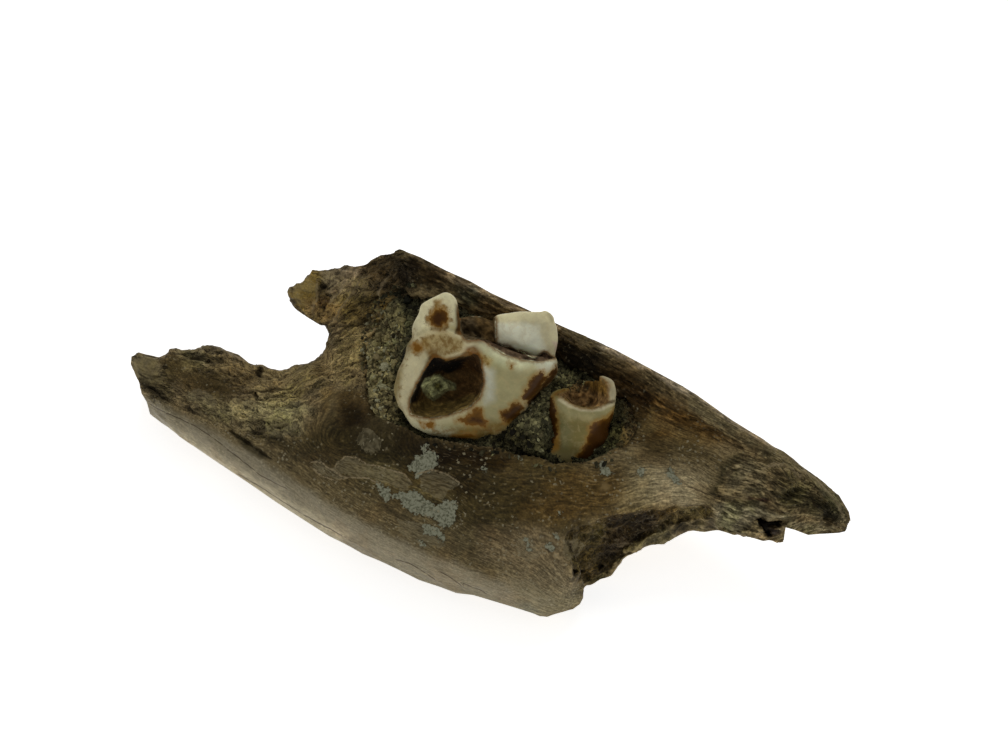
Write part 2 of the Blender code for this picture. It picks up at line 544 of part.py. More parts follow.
def cut_rest_face(bone):
    """Cuts the underside flat on a small spot, and leaves the table there."""
    middle = Matrix.Translation((0, 0, REST_HEIGHT - TABLE_SLAB[2] / 2))
    bm = bmesh.new()
    bmesh.ops.create_cube(bm, size=1, matrix=middle @ Matrix.Diagonal((*TABLE_SLAB, 1)))
    boolean(bone, cutter_object("table_cut", bm), "DIFFERENCE")
    return largest_island(bone)


def material(name, colour, roughness):
    finish = bpy.data.materials.new(name)
    finish.use_nodes = True
    shader = finish.node_tree.nodes["Principled BSDF"]
    shader.inputs["Base Color"].default_value = (*colour, 1)
    shader.inputs["Roughness"].default_value = roughness
    shader.inputs["Metallic"].default_value = 0
    finish.diffuse_color = (*colour, 1)
    return finish


def finish_part(obj, shift):
    """Moves the part to its last place, turns millimetres into metres and gives it its material."""
    obj.data.transform(Matrix.Scale(MILLIMETRE, 4) @ Matrix.Translation(shift))
    obj.data.shade_smooth()
    obj.data.materials.clear()
    obj.data.materials.append(material(*FINISHES[obj.name]))
    print(obj.name, len(obj.data.polygons), "faces")


def main():
    clear_scene()
    new_collection(COLLECTION)
    new_collection(CUTTERS).hide_render = True
    bone = make_jaw_bone()
    molar = make_molar()
    small_tooth = make_small_tooth()
    sediment = make_sediment((molar, small_tooth))
    cut_rest_face(bone)
    parts = (bone, molar, small_tooth, sediment)
    corners = np.concatenate([vertices_of(part) for part in parts])
    low = corners.min(axis=0)
    high = corners.max(axis=0)
    shift = Vector((-(low[0] + high[0]) / 2, -(low[1] + high[1]) / 2, -low[2]))
    print("size in mm", high - low, "shift", tuple(shift))
    for part in parts:
        finish_part(part, shift)


main()
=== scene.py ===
# %% [markdown]
# A broken piece of a fossil kangaroo's lower jaw lies on a pale floor. It holds a large molar, a small tooth
# and the hardened sediment that filled the trough between them. The frame gives the four solids at their real
# size. Each cell below turns one of them into the finished piece: the solid is copied, given a fine even mesh,
# smoothed, and then carved and painted from named marks, the way a sculptor works from a blank.

import math

import bmesh
import bpy
import numpy as np
from mathutils import Matrix, Vector, noise
from mathutils.kdtree import KDTree


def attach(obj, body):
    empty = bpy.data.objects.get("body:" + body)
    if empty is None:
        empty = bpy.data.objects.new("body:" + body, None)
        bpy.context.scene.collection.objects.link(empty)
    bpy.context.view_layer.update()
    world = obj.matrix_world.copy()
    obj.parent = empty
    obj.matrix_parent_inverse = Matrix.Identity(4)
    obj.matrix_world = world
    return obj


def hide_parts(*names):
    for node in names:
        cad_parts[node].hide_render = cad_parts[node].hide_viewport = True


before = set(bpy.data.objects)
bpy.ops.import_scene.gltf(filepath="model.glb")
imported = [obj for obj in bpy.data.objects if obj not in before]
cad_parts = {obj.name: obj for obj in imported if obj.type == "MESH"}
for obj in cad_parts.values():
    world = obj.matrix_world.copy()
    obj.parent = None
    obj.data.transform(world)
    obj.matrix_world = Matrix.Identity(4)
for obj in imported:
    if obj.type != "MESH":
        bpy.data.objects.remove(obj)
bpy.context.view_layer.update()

# %% [markdown]
# The camera comes first, because many marks on the bone are placed where the photograph shows them. A mark is
# drawn in pixels of the 1008 x 756 picture, and every point of a mesh can say at which pixel it is seen. The
# camera looks down at 50 degrees from the right of the near side, from far enough to keep the jaw undistorted.

# %% Camera
PICTURE_WIDTH = 1008
PICTURE_HEIGHT = 756
AZIMUTH = math.radians(34)
ELEVATION = math.radians(50)
CAMERA_DISTANCE = 240.0
PIXELS_PER_MM = 12.0
LOOK_AT = Vector((0.324, 4.846, 11.283))
MM = 0.001
SENSOR = 36.0

BACK = Vector((math.sin(AZIMUTH) * math.cos(ELEVATION), -math.cos(AZIMUTH) * math.cos(ELEVATION),
               math.sin(ELEVATION)))
RIGHT = Vector((math.cos(AZIMUTH), math.sin(AZIMUTH), 0))
UP = BACK.cross(RIGHT)


def make_camera():
    camera = bpy.data.objects.new("camera", bpy.data.cameras.new("camera"))
    camera.data.sensor_width = SENSOR
    camera.data.lens = SENSOR * PIXELS_PER_MM * CAMERA_DISTANCE / PICTURE_WIDTH
    camera.data.clip_start = 0.01
    camera.data.clip_end = 10
    turned = Matrix((RIGHT, UP, BACK)).transposed().to_4x4()
    camera.matrix_world = Matrix.Translation((LOOK_AT + BACK * CAMERA_DISTANCE) * MM) @ turned
    bpy.context.scene.collection.objects.link(camera)
    bpy.context.scene.camera = camera
    return camera


def seen_at(points):
    """The pixel at which each point, in millimetres, is seen."""
    from_middle = points - np.array(LOOK_AT)
    zoom = PIXELS_PER_MM * CAMERA_DISTANCE / (CAMERA_DISTANCE - from_middle @ np.array(BACK))
    across = PICTURE_WIDTH / 2 + from_middle @ np.array(RIGHT) * zoom
    down = PICTURE_HEIGHT / 2 - from_middle @ np.array(UP) * zoom
    return np.stack([across, down], axis=1)


make_camera()
print("camera", [round(v, 4) for v in bpy.context.scene.camera.location])

# %% [markdown]
# Sculpting in code needs only a few tools. A smooth step fades one thing into another. The distance to a line
# or an outline of pixels says how near a mark a point is. Noise makes the marks ragged, as nature's are.

# %% Sculpting tools


def fade(value, start, end):
    """0 before start, 1 past end, with a smooth run between. Start may be the larger of the two."""
    share = np.clip((value - start) / (end - start), 0, 1)
    return share * share * (3 - 2 * share)


def noise_at(points, scale, octaves=3, seed=0.0):
    """Fractal noise of about -1 to 1 at each point; scale is per millimetre, one number or three."""
    scaled = points * np.array(scale) + seed
    return np.array([noise.fractal(Vector(point), 0.9, 2.1, octaves) for point in scaled])


def ridges_at(points, scale, octaves=3, seed=0.0):
    """Thin wandering ridges: 1 on a ridge, 0 between."""
    return np.clip(1 - 3.2 * np.abs(noise_at(points, scale, octaves, seed)), 0, 1)


def nearest_on_line(pixels, line):
    """The distance in pixels to a line through several points, the nearest place on it, and its side."""
    best = np.full(len(pixels), 1e9)
    place = np.zeros((len(pixels), 2))
    side = np.ones(len(pixels))
    for start, end in zip(line, line[1:]):
        start = np.array(start, float)
        run = np.array(end, float) - start
        offset = pixels - start
        share = np.clip((offset @ run) / (run @ run), 0, 1)
        here = start + share[:, None] * run
        distance = np.linalg.norm(pixels - here, axis=1)
        nearer = distance < best
        best[nearer] = distance[nearer]
        place[nearer] = here[nearer]
        side[nearer] = np.sign(run[0] * offset[:, 1] - run[1] * offset[:, 0])[nearer]
    return best, place, side


def line_distance(pixels, line):
    return nearest_on_line(pixels, line)[0]


def is_inside(pixels, outline):
    inside = np.zeros(len(pixels), bool)
    for (x0, y0), (x1, y1) in zip(outline, list(outline[1:]) + [outline[0]]):
        crosses = (y0 > pixels[:, 1]) != (y1 > pixels[:, 1])
        if y0 != y1:
            inside ^= crosses & (pixels[:, 0] < (x1 - x0) * (pixels[:, 1] - y0) / (y1 - y0) + x0)
    return inside


def outline_distance(pixels, outline):
    """The distance in pixels to an outline, negative inside it."""
    distance = line_distance(pixels, list(outline) + [outline[0]])
    return np.where(is_inside(pixels, outline), -distance, distance)


def spot_distance(pixels, spot):
    """The distance in pixels to a round spot (x, y, radius), negative inside it."""
    x, y, radius = spot
    return np.hypot(pixels[:, 0] - x, pixels[:, 1] - y) - radius


def colour(red, green, blue):
    """A screen colour of 0 to 255 as the linear values that a shader takes."""
    return tuple((v / 255 / 12.92) if v <= 10 else ((v / 255 + 0.055) / 1.055) ** 2.4 for v in (red, green, blue))



def painted(pixels, base, coats, ragged, shown):
    """The base colour with soft coats over it; a coat is (colour, softness in pixels, outline)."""
    tint = np.tile(np.array(colour(*base)), (len(pixels), 1))
    for shade, softness, outline in coats:
        share = fade(outline_distance(pixels, outline) + ragged, softness, -softness) * shown
        tint += (np.array(colour(*shade)) - tint) * share[:, None]
    return tint


def toned_and_shaded(tint, pixels, tone_and_shade_marks, ragged, shown):
    """Own tone, painted shade and painted light, multiplied into a tint; a mark is (factors for red, green and blue,
    softness in pixels, outline).
    """
    for factors, softness, outline in tone_and_shade_marks:
        share = fade(outline_distance(pixels, outline) + ragged, softness, -softness) * shown
        tint = tint * (1 + share[:, None] * (np.array(factors) - 1))
    return tint


# %% [markdown]
# A blank is a piece being sculpted. It keeps its points, their normals, where the camera sees them, a colour for
# each point, and named masks. When the work is done the masks and the colour stay on the mesh as attributes,
# which the material reads.

# %% The blank


class Blank:
    """A piece being sculpted, in millimetres."""

    def __init__(self, name, node, voxel, smoothing):
        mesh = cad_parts[node].data.copy()
        mesh.materials.clear()
        mesh.transform(Matrix.Scale(1 / MM, 4))
        bm = bmesh.new()
        bm.from_mesh(mesh)
        bmesh.ops.remove_doubles(bm, verts=bm.verts[:], dist=0.0005)
        bm.to_mesh(mesh)
        bm.free()
        self.piece = bpy.data.objects.new(name, mesh)
        bpy.context.scene.collection.objects.link(self.piece)
        self.node = node
        self.masks = {}
        self.modified("REMESH", mode="VOXEL", voxel_size=voxel)
        self.modified("SMOOTH", factor=0.5, iterations=smoothing)

    def modified(self, kind, **settings):
        """Adds a modifier and applies it."""
        modifier = self.piece.modifiers.new(kind.title(), kind)
        for setting, value in settings.items():
            setattr(modifier, setting, value)
        evaluated = self.piece.evaluated_get(bpy.context.evaluated_depsgraph_get())
        mesh = bpy.data.meshes.new_from_object(evaluated)
        self.piece.modifiers.clear()
        self.piece.data = mesh
        self.measure()

    def measure(self):
        """Reads the points and normals, and where the camera sees them."""
        mesh = self.piece.data
        self.points = np.empty(len(mesh.vertices) * 3)
        mesh.vertices.foreach_get("co", self.points)
        self.points = self.points.reshape(-1, 3)
        self.normals = np.empty(len(mesh.vertices) * 3)
        mesh.vertex_normals.foreach_get("vector", self.normals)
        self.normals = self.normals.reshape(-1, 3)
        self.pixels = seen_at(self.points)
        self.front = fade(self.normals @ np.array(BACK), 0.0, 0.25)

    def push(self, amount):
        """Moves every point along its normal by its own amount."""
        self.points = self.points + self.normals * amount[:, None]
        self.write()

    def write(self):
        mesh = self.piece.data
        mesh.vertices.foreach_set("co", self.points.astype(np.float32).ravel())
        mesh.update()
        self.measure()

    def slide(self, pixels):
        """Moves every point across the line of sight, by pixels to the right and down."""
        across = pixels / PIXELS_PER_MM
        self.points = self.points + across[:, :1] * np.array(RIGHT) - across[:, 1:] * np.array(UP)
        self.write()


    def sink(self, amount):
        """Moves every point away from the camera, in millimetres: it stays at its pixel."""
        self.points = self.points - amount[:, None] * np.array(BACK)
        self.write()

    def pull(self, places, shown=1.0):
        """Slides the points near each place; a place is (x, y, radius, right, down) in pixels."""
        total = np.zeros(len(self.points))
        shift = np.zeros((len(self.points), 2))
        for x, y, radius, right, down in places:
            weight = np.exp(-(spot_distance(self.pixels, (x, y, 0)) / radius) ** 2) * shown
            total += weight
            shift += weight[:, None] * np.array((right, down))
        self.slide(shift / np.maximum(1, total)[:, None])

    def finish(self, look, slot, triangles):
        """Keeps the masks as attributes, turns the piece to metres and lets it ride in the node's place."""
        mesh = self.piece.data
        for name, values in self.masks.items():
            attribute = mesh.attributes.new(name, "FLOAT", "POINT")
            attribute.data.foreach_set("value", np.clip(values, 0, 1).astype(np.float32))
        attribute = mesh.attributes.new("tint", "FLOAT_COLOR", "POINT")
        with_alpha = np.column_stack([self.tint, np.ones(len(self.tint))])
        attribute.data.foreach_set("color", with_alpha.astype(np.float32).ravel())
        mesh.calc_loop_triangles()
        share = min(1.0, triangles / len(mesh.loop_triangles))
        if share < 1:
            self.modified("DECIMATE", ratio=share, use_collapse_triangulate=True)
            mesh = self.piece.data
        mesh.transform(Matrix.Scale(MM, 4))
        mesh.shade_smooth()
        mesh.materials.clear()
        mesh.materials.append(look)
        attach(self.piece, "root")
        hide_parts(self.node)
        mesh.calc_loop_triangles()
        print(self.piece.name, len(mesh.loop_triangles), "triangles")


# %% [markdown]
# Materials are built from a few nodes. The helpers below add a node, link what is given to its sockets, and
# read the masks that the sculpting leaves on each piece. All patterns use the object's own coordinates,
# turned into millimetres, so that a scale of 2 means two waves to the millimetre.

# %% Material tools
FLOW_SPAN = 32.0
LINE_SPAN = 16.0


class Look:
    """A material under construction."""

    def __init__(self, name, roughness, shine, coat=0.0):
        self.material = bpy.data.materials.new(name)
        self.material.use_nodes = True
        self.tree = self.material.node_tree
        self.shader = self.tree.nodes["Principled BSDF"]
        self.shader.inputs["Roughness"].default_value = roughness
        self.shader.inputs["Specular IOR Level"].default_value = shine
        self.shader.inputs["Coat Weight"].default_value = coat
        self.shader.inputs["Coat Roughness"].default_value = 0.25
        place = self.tree.nodes.new("ShaderNodeTexCoord")
        self.mm = self.add("ShaderNodeVectorMath", place.outputs["Object"], (1 / MM,) * 3, operation="MULTIPLY")
        self.parts = self.tree.nodes.new("ShaderNodeSeparateXYZ")
        self.tree.links.new(self.mm, self.parts.inputs[0])

    def add(self, kind, *inputs, **settings):
        """A new node; the inputs are values or other nodes' sockets, in the order of its own sockets."""
        new = self.tree.nodes.new(kind)
        for setting, value in settings.items():
            setattr(new, setting, value)
        for socket, value in zip([s for s in new.inputs if s.enabled], inputs):
            if isinstance(value, bpy.types.NodeSocket):
                self.tree.links.new(value, socket)
            elif value is not None:
                socket.default_value = value
        return [s for s in new.outputs if s.enabled][0]

    def mask(self, name):
        """A mask that the sculpting left on the piece."""
        attribute = self.tree.nodes.new("ShaderNodeAttribute")
        attribute.attribute_name = name
        return attribute.outputs["Fac"]

    def tint(self):
        """The colour that was painted on the piece."""
        attribute = self.tree.nodes.new("ShaderNodeAttribute")
        attribute.attribute_name = "tint"
        return attribute.outputs["Color"]

    def grain(self, scale, stretch=(1, 1, 1), detail=4.0, roughness=0.6, wobble=0.0):
        """Noise of 0 to 1, its waves to the millimetre and its stretch along the axes."""
        stretched = self.add("ShaderNodeVectorMath", self.mm, stretch, operation="MULTIPLY")
        return self.add("ShaderNodeTexNoise", stretched, scale, detail, roughness, 2.0, wobble)

    def flow_place(self, along, across, tangle):
        """A place counted along the jaw and across the flow lines, each to its own scale."""
        level = self.maths("MULTIPLY", self.mask("flow"), FLOW_SPAN)
        flow = self.maths("MULTIPLY", self.maths("ADD", level, tangle), across)
        x = self.maths("MULTIPLY", self.parts.outputs[0], along)
        z = self.maths("MULTIPLY", self.parts.outputs[2], along)
        return self.add("ShaderNodeCombineXYZ", x, flow, z)

    def flowing(self, along, across, detail, tangle):
        """Noise drawn out along the flow lines on the seen side, and along the jaw on the hidden side."""
        seen = self.add("ShaderNodeTexNoise", self.flow_place(along, across, tangle), 1.0, detail, 0.6)
        hidden = self.grain(1.0, (along, across, across), detail, 0.6)
        return self.blended(self.mask("front"), hidden, seen)

    def net(self, along, across, tangle):
        """The distance to the nearest strut of an irregular net: 0 on a strut, about 0.5 in a hole."""
        place = self.flow_place(along, across, tangle)
        return self.add("ShaderNodeTexVoronoi", place, 1.0, feature="DISTANCE_TO_EDGE")

    def contrast(self, value, strength):
        """A tone around 1 from a noise around 0.5: the strength to the power of the noise."""
        return self.maths("POWER", strength, self.maths("SUBTRACT", value, 0.5))

    def chances(self, scale, wobble=0.35):
        """A chance of 0 to 1 for each of many small ragged cells; scale is cells to the millimetre."""
        shaky = self.add("ShaderNodeTexNoise", self.mm, scale * 2.5, 3.0, 0.6)
        offset = self.add("ShaderNodeVectorMath", shaky.node.outputs["Color"], (wobble / scale * 2,) * 3,
                          operation="MULTIPLY")
        moved = self.add("ShaderNodeVectorMath", self.mm, offset, operation="ADD")
        cells = self.add("ShaderNodeTexVoronoi", moved, scale).node
        chance = self.tree.nodes.new("ShaderNodeSeparateColor")
        self.tree.links.new(cells.outputs["Color"], chance.inputs[0])
        return chance.outputs[0]

    def flakes(self, scale, coverage):
        """1 inside a flake and 0 outside; coverage is a share or a socket that says how many there are."""
        return self.spread(self.maths("SUBTRACT", coverage, self.chances(scale)), -0.02, 0.03)

    def spread(self, value, low, high, to_low=0.0, to_high=1.0):
        """Maps low..high of a value to to_low..to_high, clipped and smoothed at both ends."""
        return self.add("ShaderNodeMapRange", value, low, high, to_low, to_high,
                        interpolation_type="SMOOTHSTEP")

    def maths(self, operation, first, second=0.5):
        return self.add("ShaderNodeMath", first, second, operation=operation)

    def thread(self, value, width):
        """1 where the value passes its middle, 0 farther off: a thin line along a noise's contour."""
        return self.spread(self.maths("ABSOLUTE", self.maths("SUBTRACT", value, 0.5)), width, 0.0)

    def drawn(self, name, width):
        """1 on the lines whose side and nearness the masks of this name keep, 0 beside them."""
        off = self.maths("ABSOLUTE", self.maths("SUBTRACT", self.mask(name + "_side"), 0.5))
        return self.maths("MULTIPLY", self.spread(off, width, 0.01), self.mask(name + "_near"))

    def blended(self, share, first, second):
        """A number between two others."""
        new = self.tree.nodes.new("ShaderNodeMix")
        for socket, value in zip((new.inputs[0], new.inputs[2], new.inputs[3]), (share, first, second)):
            if isinstance(value, bpy.types.NodeSocket):
                self.tree.links.new(value, socket)
            else:
                socket.default_value = value
        return new.outputs[0]

    def mixed(self, share, first, second, kind="MIX"):
        """A colour between two others; each is a socket or a colour of three numbers."""
        new = self.tree.nodes.new("ShaderNodeMix")
        new.data_type = "RGBA"
        new.blend_type = kind
        for socket, value in zip((new.inputs[0], new.inputs[6], new.inputs[7]), (share, first, second)):
            if isinstance(value, bpy.types.NodeSocket):
                self.tree.links.new(value, socket)
            else:
                socket.default_value = value if isinstance(value, float) else (*value, 1)
        return new.outputs[2]

    def shaded(self, base, factor):
        """A colour made darker or lighter by a factor."""
        return self.mixed(1.0, base, factor, "MULTIPLY")

    def finish(self, base, height, bump, roughness=None):
        """Links the colour, the roughness and the height of the fine relief to the shader."""
        self.tree.links.new(base, self.shader.inputs["Base Color"])
        if roughness is not None:
            self.tree.links.new(roughness, self.shader.inputs["Roughness"])
        relief = self.tree.nodes.new("ShaderNodeBump")
        relief.inputs["Strength"].default_value = 1.0
        relief.inputs["Distance"].default_value = bump * MM
        self.tree.links.new(height, relief.inputs["Height"])
        self.tree.links.new(relief.outputs[0], self.shader.inputs["Normal"])
        return self.material


# %% [markdown]
# The outline of the whole jaw, as the photograph shows it, trims the blank. Each point that sticks out past it
# is moved back across the line of sight. That gives the notch, the broken crest and the small spike their
# true edges.

# %% The trimmed outline
OUTLINE = (
    (131, 364), (132, 357), (138, 353), (150, 355), (161, 359), (167, 357), (171, 350), (176, 348), (183, 351),
    (196, 350), (204, 346), (215, 344), (227, 351), (239, 355), (252, 366), (263, 365), (270, 369), (281, 371),
    (290, 369), (296, 364), (308, 364), (316, 361), (326, 349), (328, 340), (332, 331), (331, 326), (319, 324),
    (307, 317), (294, 308), (290, 302), (287, 294), (290, 287), (303, 283), (308, 276), (313, 271), (324, 270),
    (333, 267), (341, 264), (352, 266), (359, 269), (364, 268), (370, 261), (380, 256), (392, 253), (399, 249),
    (420, 257), (447, 271), (470, 281), (491, 293), (524, 308), (564, 327), (588, 337), (614, 349), (640, 363),
    (690, 390), (732, 420), (753, 433), (779, 448), (802, 465), (822, 478), (839, 495), (849, 512), (851, 522),
    (847, 531), (839, 533), (820, 534), (808, 535), (795, 530), (784, 527), (784, 533), (785, 539), (783, 542),
    (777, 543), (770, 540),
    (763, 541), (753, 538), (742, 538), (728, 533), (718, 530), (704, 532), (690, 530), (679, 535), (664, 544),
    (647, 545), (636, 552), (625, 556), (620, 563), (612, 575), (599, 582), (590, 585), (584, 586), (583, 592), (583, 598),
    (580, 604), (573, 609), (555, 614), (544, 618), (532, 613), (513, 607), (493, 601), (473, 595), (456, 593), (440, 587), (419, 580),
    (397, 569), (380, 561), (363, 554), (347, 545), (329, 536), (307, 522), (276, 502), (250, 484), (220, 464),
    (196, 448), (180, 437), (160, 422), (150, 414), (147, 402), (142, 394), (139, 382), (134, 372),
)


NOTCH_ROOF = ((784, 527), (795, 530), (808, 535))


def open_notch(blank, roof):
    """Slides the points that are seen below a notch's roof straight up to it, so that its side stands upright."""
    x, y = blank.pixels.T
    across = [place[0] for place in roof]
    lift = np.minimum(0, np.interp(x, across, [place[1] for place in roof]) - y)
    blank.slide(np.stack([0 * x, np.where((x > across[0]) & (x < across[-1]), lift, 0)], axis=1))


def trim(blank, outline, wobble):
    """Moves the points that are seen outside the outline onto it; the wobble, in pixels, makes it ragged."""
    pixels = blank.pixels + wobble[:, None]
    distance, place, side = nearest_on_line(pixels, list(outline) + [outline[0]])
    outside = ~is_inside(pixels, outline)
    blank.slide(np.where(outside[:, None], place - pixels, 0))
    print(blank.piece.name, "trimmed", int(outside.sum()), "points by up to", round(distance[outside].max(), 1), "px")


# %% [markdown]
# Bone has a grain, as wood has. The flow lines below are drawn like the contour lines of a map: a smooth
# surface is stretched over them, and its level says across which fibre a point lies. Noise that runs quickly
# across the levels and slowly along the jaw then looks like fibres that follow the lines.

# %% Flow of the grain
FLOW_LINES = (
    (0, ((150, 414), (180, 437), (220, 464), (261, 491), (306, 522), (347, 545), (398, 569), (440, 587),
         (493, 601), (544, 618))),
    (3, ((139, 390), (210, 425), (260, 453), (300, 480), (350, 512), (420, 547), (470, 568), (530, 592),
         (578, 606))),
    (5.5, ((150, 384), (200, 402), (250, 425), (320, 462), (380, 497), (450, 530), (520, 564), (576, 597))),
    (7, ((470, 520), (530, 546), (580, 574))),
    (8, ((150, 378), (200, 392), (250, 402), (290, 402), (320, 390), (350, 378), (380, 370))),
    (10, ((160, 367), (210, 379), (260, 390), (290, 389), (318, 375), (345, 362), (385, 350))),
    (12, ((170, 355), (215, 362), (250, 378), (285, 380), (312, 365), (330, 352), (360, 340), (392, 328))),
    (14, ((176, 348), (215, 344), (246, 362), (281, 371), (316, 361), (328, 340))),
    (16, ((332, 324), (350, 314), (380, 300), (410, 300))),
    (18, ((290, 300), (315, 304), (345, 290), (375, 275), (400, 264), (440, 282), (520, 322))),
    (20, ((313, 271), (341, 265), (370, 261), (399, 249), (447, 271), (508, 302), (588, 337), (640, 363),
          (732, 420), (802, 465), (849, 512))),
    (8, ((330, 445), (380, 452), (450, 482), (520, 504), (580, 514), (640, 505), (702, 500))),
    (10, ((440, 447), (520, 463), (600, 476), (660, 472), (709, 490), (745, 500),
          (790, 515), (845, 525))),
    (12.5, ((650, 440), (700, 455), (760, 478), (820, 505))),
    (16, ((560, 350), (620, 388), (680, 422), (740, 448), (800, 480))),
    (6.5, ((620, 560), (664, 540), (718, 528), (780, 538))),
)


def flow_at(pixels):
    """The level of a thin plate that is bent to pass through the flow lines."""
    places = np.array([place for level, line in FLOW_LINES for place in line], float) / 100
    levels = np.array([level for level, line in FLOW_LINES for place in line], float)
    count = len(places)

    def bend(squared):
        return squared * np.log(squared + 1e-9)

    system = np.zeros((count + 3, count + 3))
    system[:count, :count] = bend(((places[:, None] - places[None]) ** 2).sum(axis=2)) + 0.002 * np.eye(count)
    system[:count, count] = 1
    system[:count, count + 1:] = places
    system[count:, :count] = system[:count, count:].T
    weights = np.linalg.solve(system, np.append(levels, (0, 0, 0)))
    here = pixels / 100
    level = weights[count] + here @ weights[count + 1:]
    for place, weight in zip(places, weights):
        level += weight * bend(((here - place) ** 2).sum(axis=1))
    return level


# %% [markdown]
# The bone's own marks. The smooth lower band lies below a long crease; the middle face is dark brown with a
# fine grain along the jaw; both ends are broken open and matted; pale crusts and long thin cracks lie on it.

# %% Marks on the bone
BAND_CREASE = ((130, 384), (150, 396), (210, 425), (260, 452), (300, 478), (350, 512), (420, 545), (470, 566),
               (530, 590))
CRUSTS = (
    ((412, 462), (415, 456), (422, 455), (424, 452), (432, 451), (438, 456), (437, 465), (432, 468), (430, 472),
     (425, 470), (420, 479), (414, 478), (416, 472), (409, 471), (408, 465)),
    ((377, 481), (382, 485), (388, 487), (391, 494), (400, 491), (406, 493), (414, 489), (424, 497), (432, 503),
     (437, 507), (440, 505), (446, 500), (456, 502), (457, 508), (459, 507), (455, 514), (456, 521), (451, 526),
     (446, 530), (438, 524), (430, 518), (422, 517), (412, 513), (404, 507), (398, 499), (390, 498), (386, 502),
     (380, 496)),
    ((422, 524), (430, 523), (437, 528), (442, 533), (445, 541), (440, 543), (436, 537), (430, 537), (424, 533)),
    ((421, 444), (430, 446), (428, 452), (421, 450)),
    ((514, 452), (519, 448), (524, 450), (522, 456), (519, 461)),
    ((481, 468), (488, 470), (486, 474)),
    ((599, 463), (604, 460), (609, 468), (615, 472), (608, 477), (600, 474)),
    ((635, 471), (640, 468), (647, 470), (641, 477)),
    ((664, 470), (671, 467), (675, 474), (683, 482), (679, 486), (671, 482)),
    ((555, 510), (562, 511), (559, 517)),
    ((524, 538), (527, 537), (529, 545), (533, 550), (527, 550)),
    ((545, 546), (551, 542), (557, 550), (551, 551)),
    ((552, 535), (559, 532), (558, 541)),
    ((418, 540), (425, 543), (426, 547), (420, 547)),
)
FAINT_CRUSTS = (
    ((434, 472), (444, 472), (450, 488), (441, 500), (431, 496), (433, 486)),
    ((336, 465), (345, 457), (359, 459), (370, 466), (369, 474), (361, 478), (350, 475), (339, 471)),
    ((312, 462), (320, 461), (327, 468), (336, 469), (345, 478), (334, 478), (322, 474), (314, 468)),
    ((368, 470), (384, 468), (404, 474), (412, 484), (404, 492), (390, 484), (374, 480)),
    ((418, 474), (430, 470), (446, 474), (460, 482), (452, 490), (440, 496), (424, 492)),
    ((398, 520), (424, 524), (446, 545), (424, 548), (402, 534)),
    ((188, 392), (198, 389), (208, 394), (216, 402), (214, 406), (204, 400), (192, 399)),
    ((266, 428), (276, 431), (288, 424), (298, 422), (292, 431), (284, 437), (270, 435)),
    ((276, 408), (286, 405), (299, 401), (297, 411), (284, 414)),
    ((236, 402), (250, 400), (262, 406), (250, 410)),
    ((133, 358), (146, 355), (150, 362), (140, 372), (134, 368)),
    ((360, 432), (372, 429), (382, 440), (380, 452), (366, 452), (358, 442)),
    ((510, 578), (530, 580), (550, 594), (556, 606), (536, 603), (516, 592)),
    ((562, 540), (568, 541), (576, 536), (583, 544), (576, 557), (567, 560)),
    ((518, 540), (532, 536), (540, 556), (528, 562), (516, 552)),
)
CRACKS = (
    ((146, 402), (176, 417), (196, 426), (216, 440), (236, 455), (262, 476), (290, 490)),
    ((236, 472), (262, 488), (300, 512), (330, 529), (352, 541)),
    ((398, 560), (412, 565), (424, 572), (436, 580)),
    ((440, 571), (452, 578), (462, 586)),
    ((464, 583), (480, 590), (492, 596)),
    ((690, 487), (698, 490), (706, 494)),
    ((812, 500), (815, 507), (818, 506)),
    ((683, 506), (700, 505), (716, 510)),
)
SLOTS = (((229, 431), (246, 442), (271, 459)),)
PITS = ((256, 396, 3), (291, 394, 1), (207, 363, 2), (259, 373, 4), (323, 287, 3), (601, 566, 3), (574, 572, 2), (582, 572, 1))
ROUGH = (
    ((126, 350), (160, 345), (215, 340), (260, 362), (300, 366), (325, 350), (290, 330), (285, 270), (345, 255),
     (400, 245), (412, 280), (400, 330), (385, 400), (350, 388), (322, 392), (308, 420), (300, 440), (262, 440),
     (190, 410), (135, 392)),
    ((564, 534), (575, 524), (612, 514), (643, 509), (717, 507), (719, 532), (653, 548), (615, 572), (584, 590),
     (572, 570)),
    ((709, 494), (723, 466), (742, 452), (790, 455), (830, 480), (856, 515), (850, 540), (780, 548), (717, 535)),
)
FRACTURE = ((564, 548), (571, 531), (586, 524), (599, 517), (618, 512), (640, 511), (664, 507), (691, 505),
            (704, 504), (716, 510), (712, 516), (700, 519), (675, 524), (655, 533), (642, 541), (628, 549),
            (616, 562), (604, 577), (590, 583), (584, 580), (572, 572))
OLIVE_LUMPS = ((145, 371, 16), (303, 290, 17))
ROUND_LUMP = ((766, 472), (772, 465), (781, 465), (791, 472), (800, 478), (801, 484), (794, 489), (784, 493), (775, 492),
              (766, 486), (763, 478))
MOUND_STEP = ((737, 458), (729, 462), (724, 470), (720, 474), (719, 482), (714, 488), (708, 494))
LEDGE = ((719, 498), (738, 500), (751, 503), (768, 505), (782, 510), (790, 516), (786, 524), (757, 522), (742, 532),
         (719, 530))
LEDGE_LINE = ((719, 496), (738, 499), (751, 502), (766, 503))
DEEP_SLOT = ((757, 520), (766, 518), (774, 521), (782, 522), (781, 527), (772, 526), (771, 535), (766, 534),
             (761, 527))
HOLLOW = ((826, 508), (833, 508), (836, 518), (834, 527), (827, 526), (823, 516))
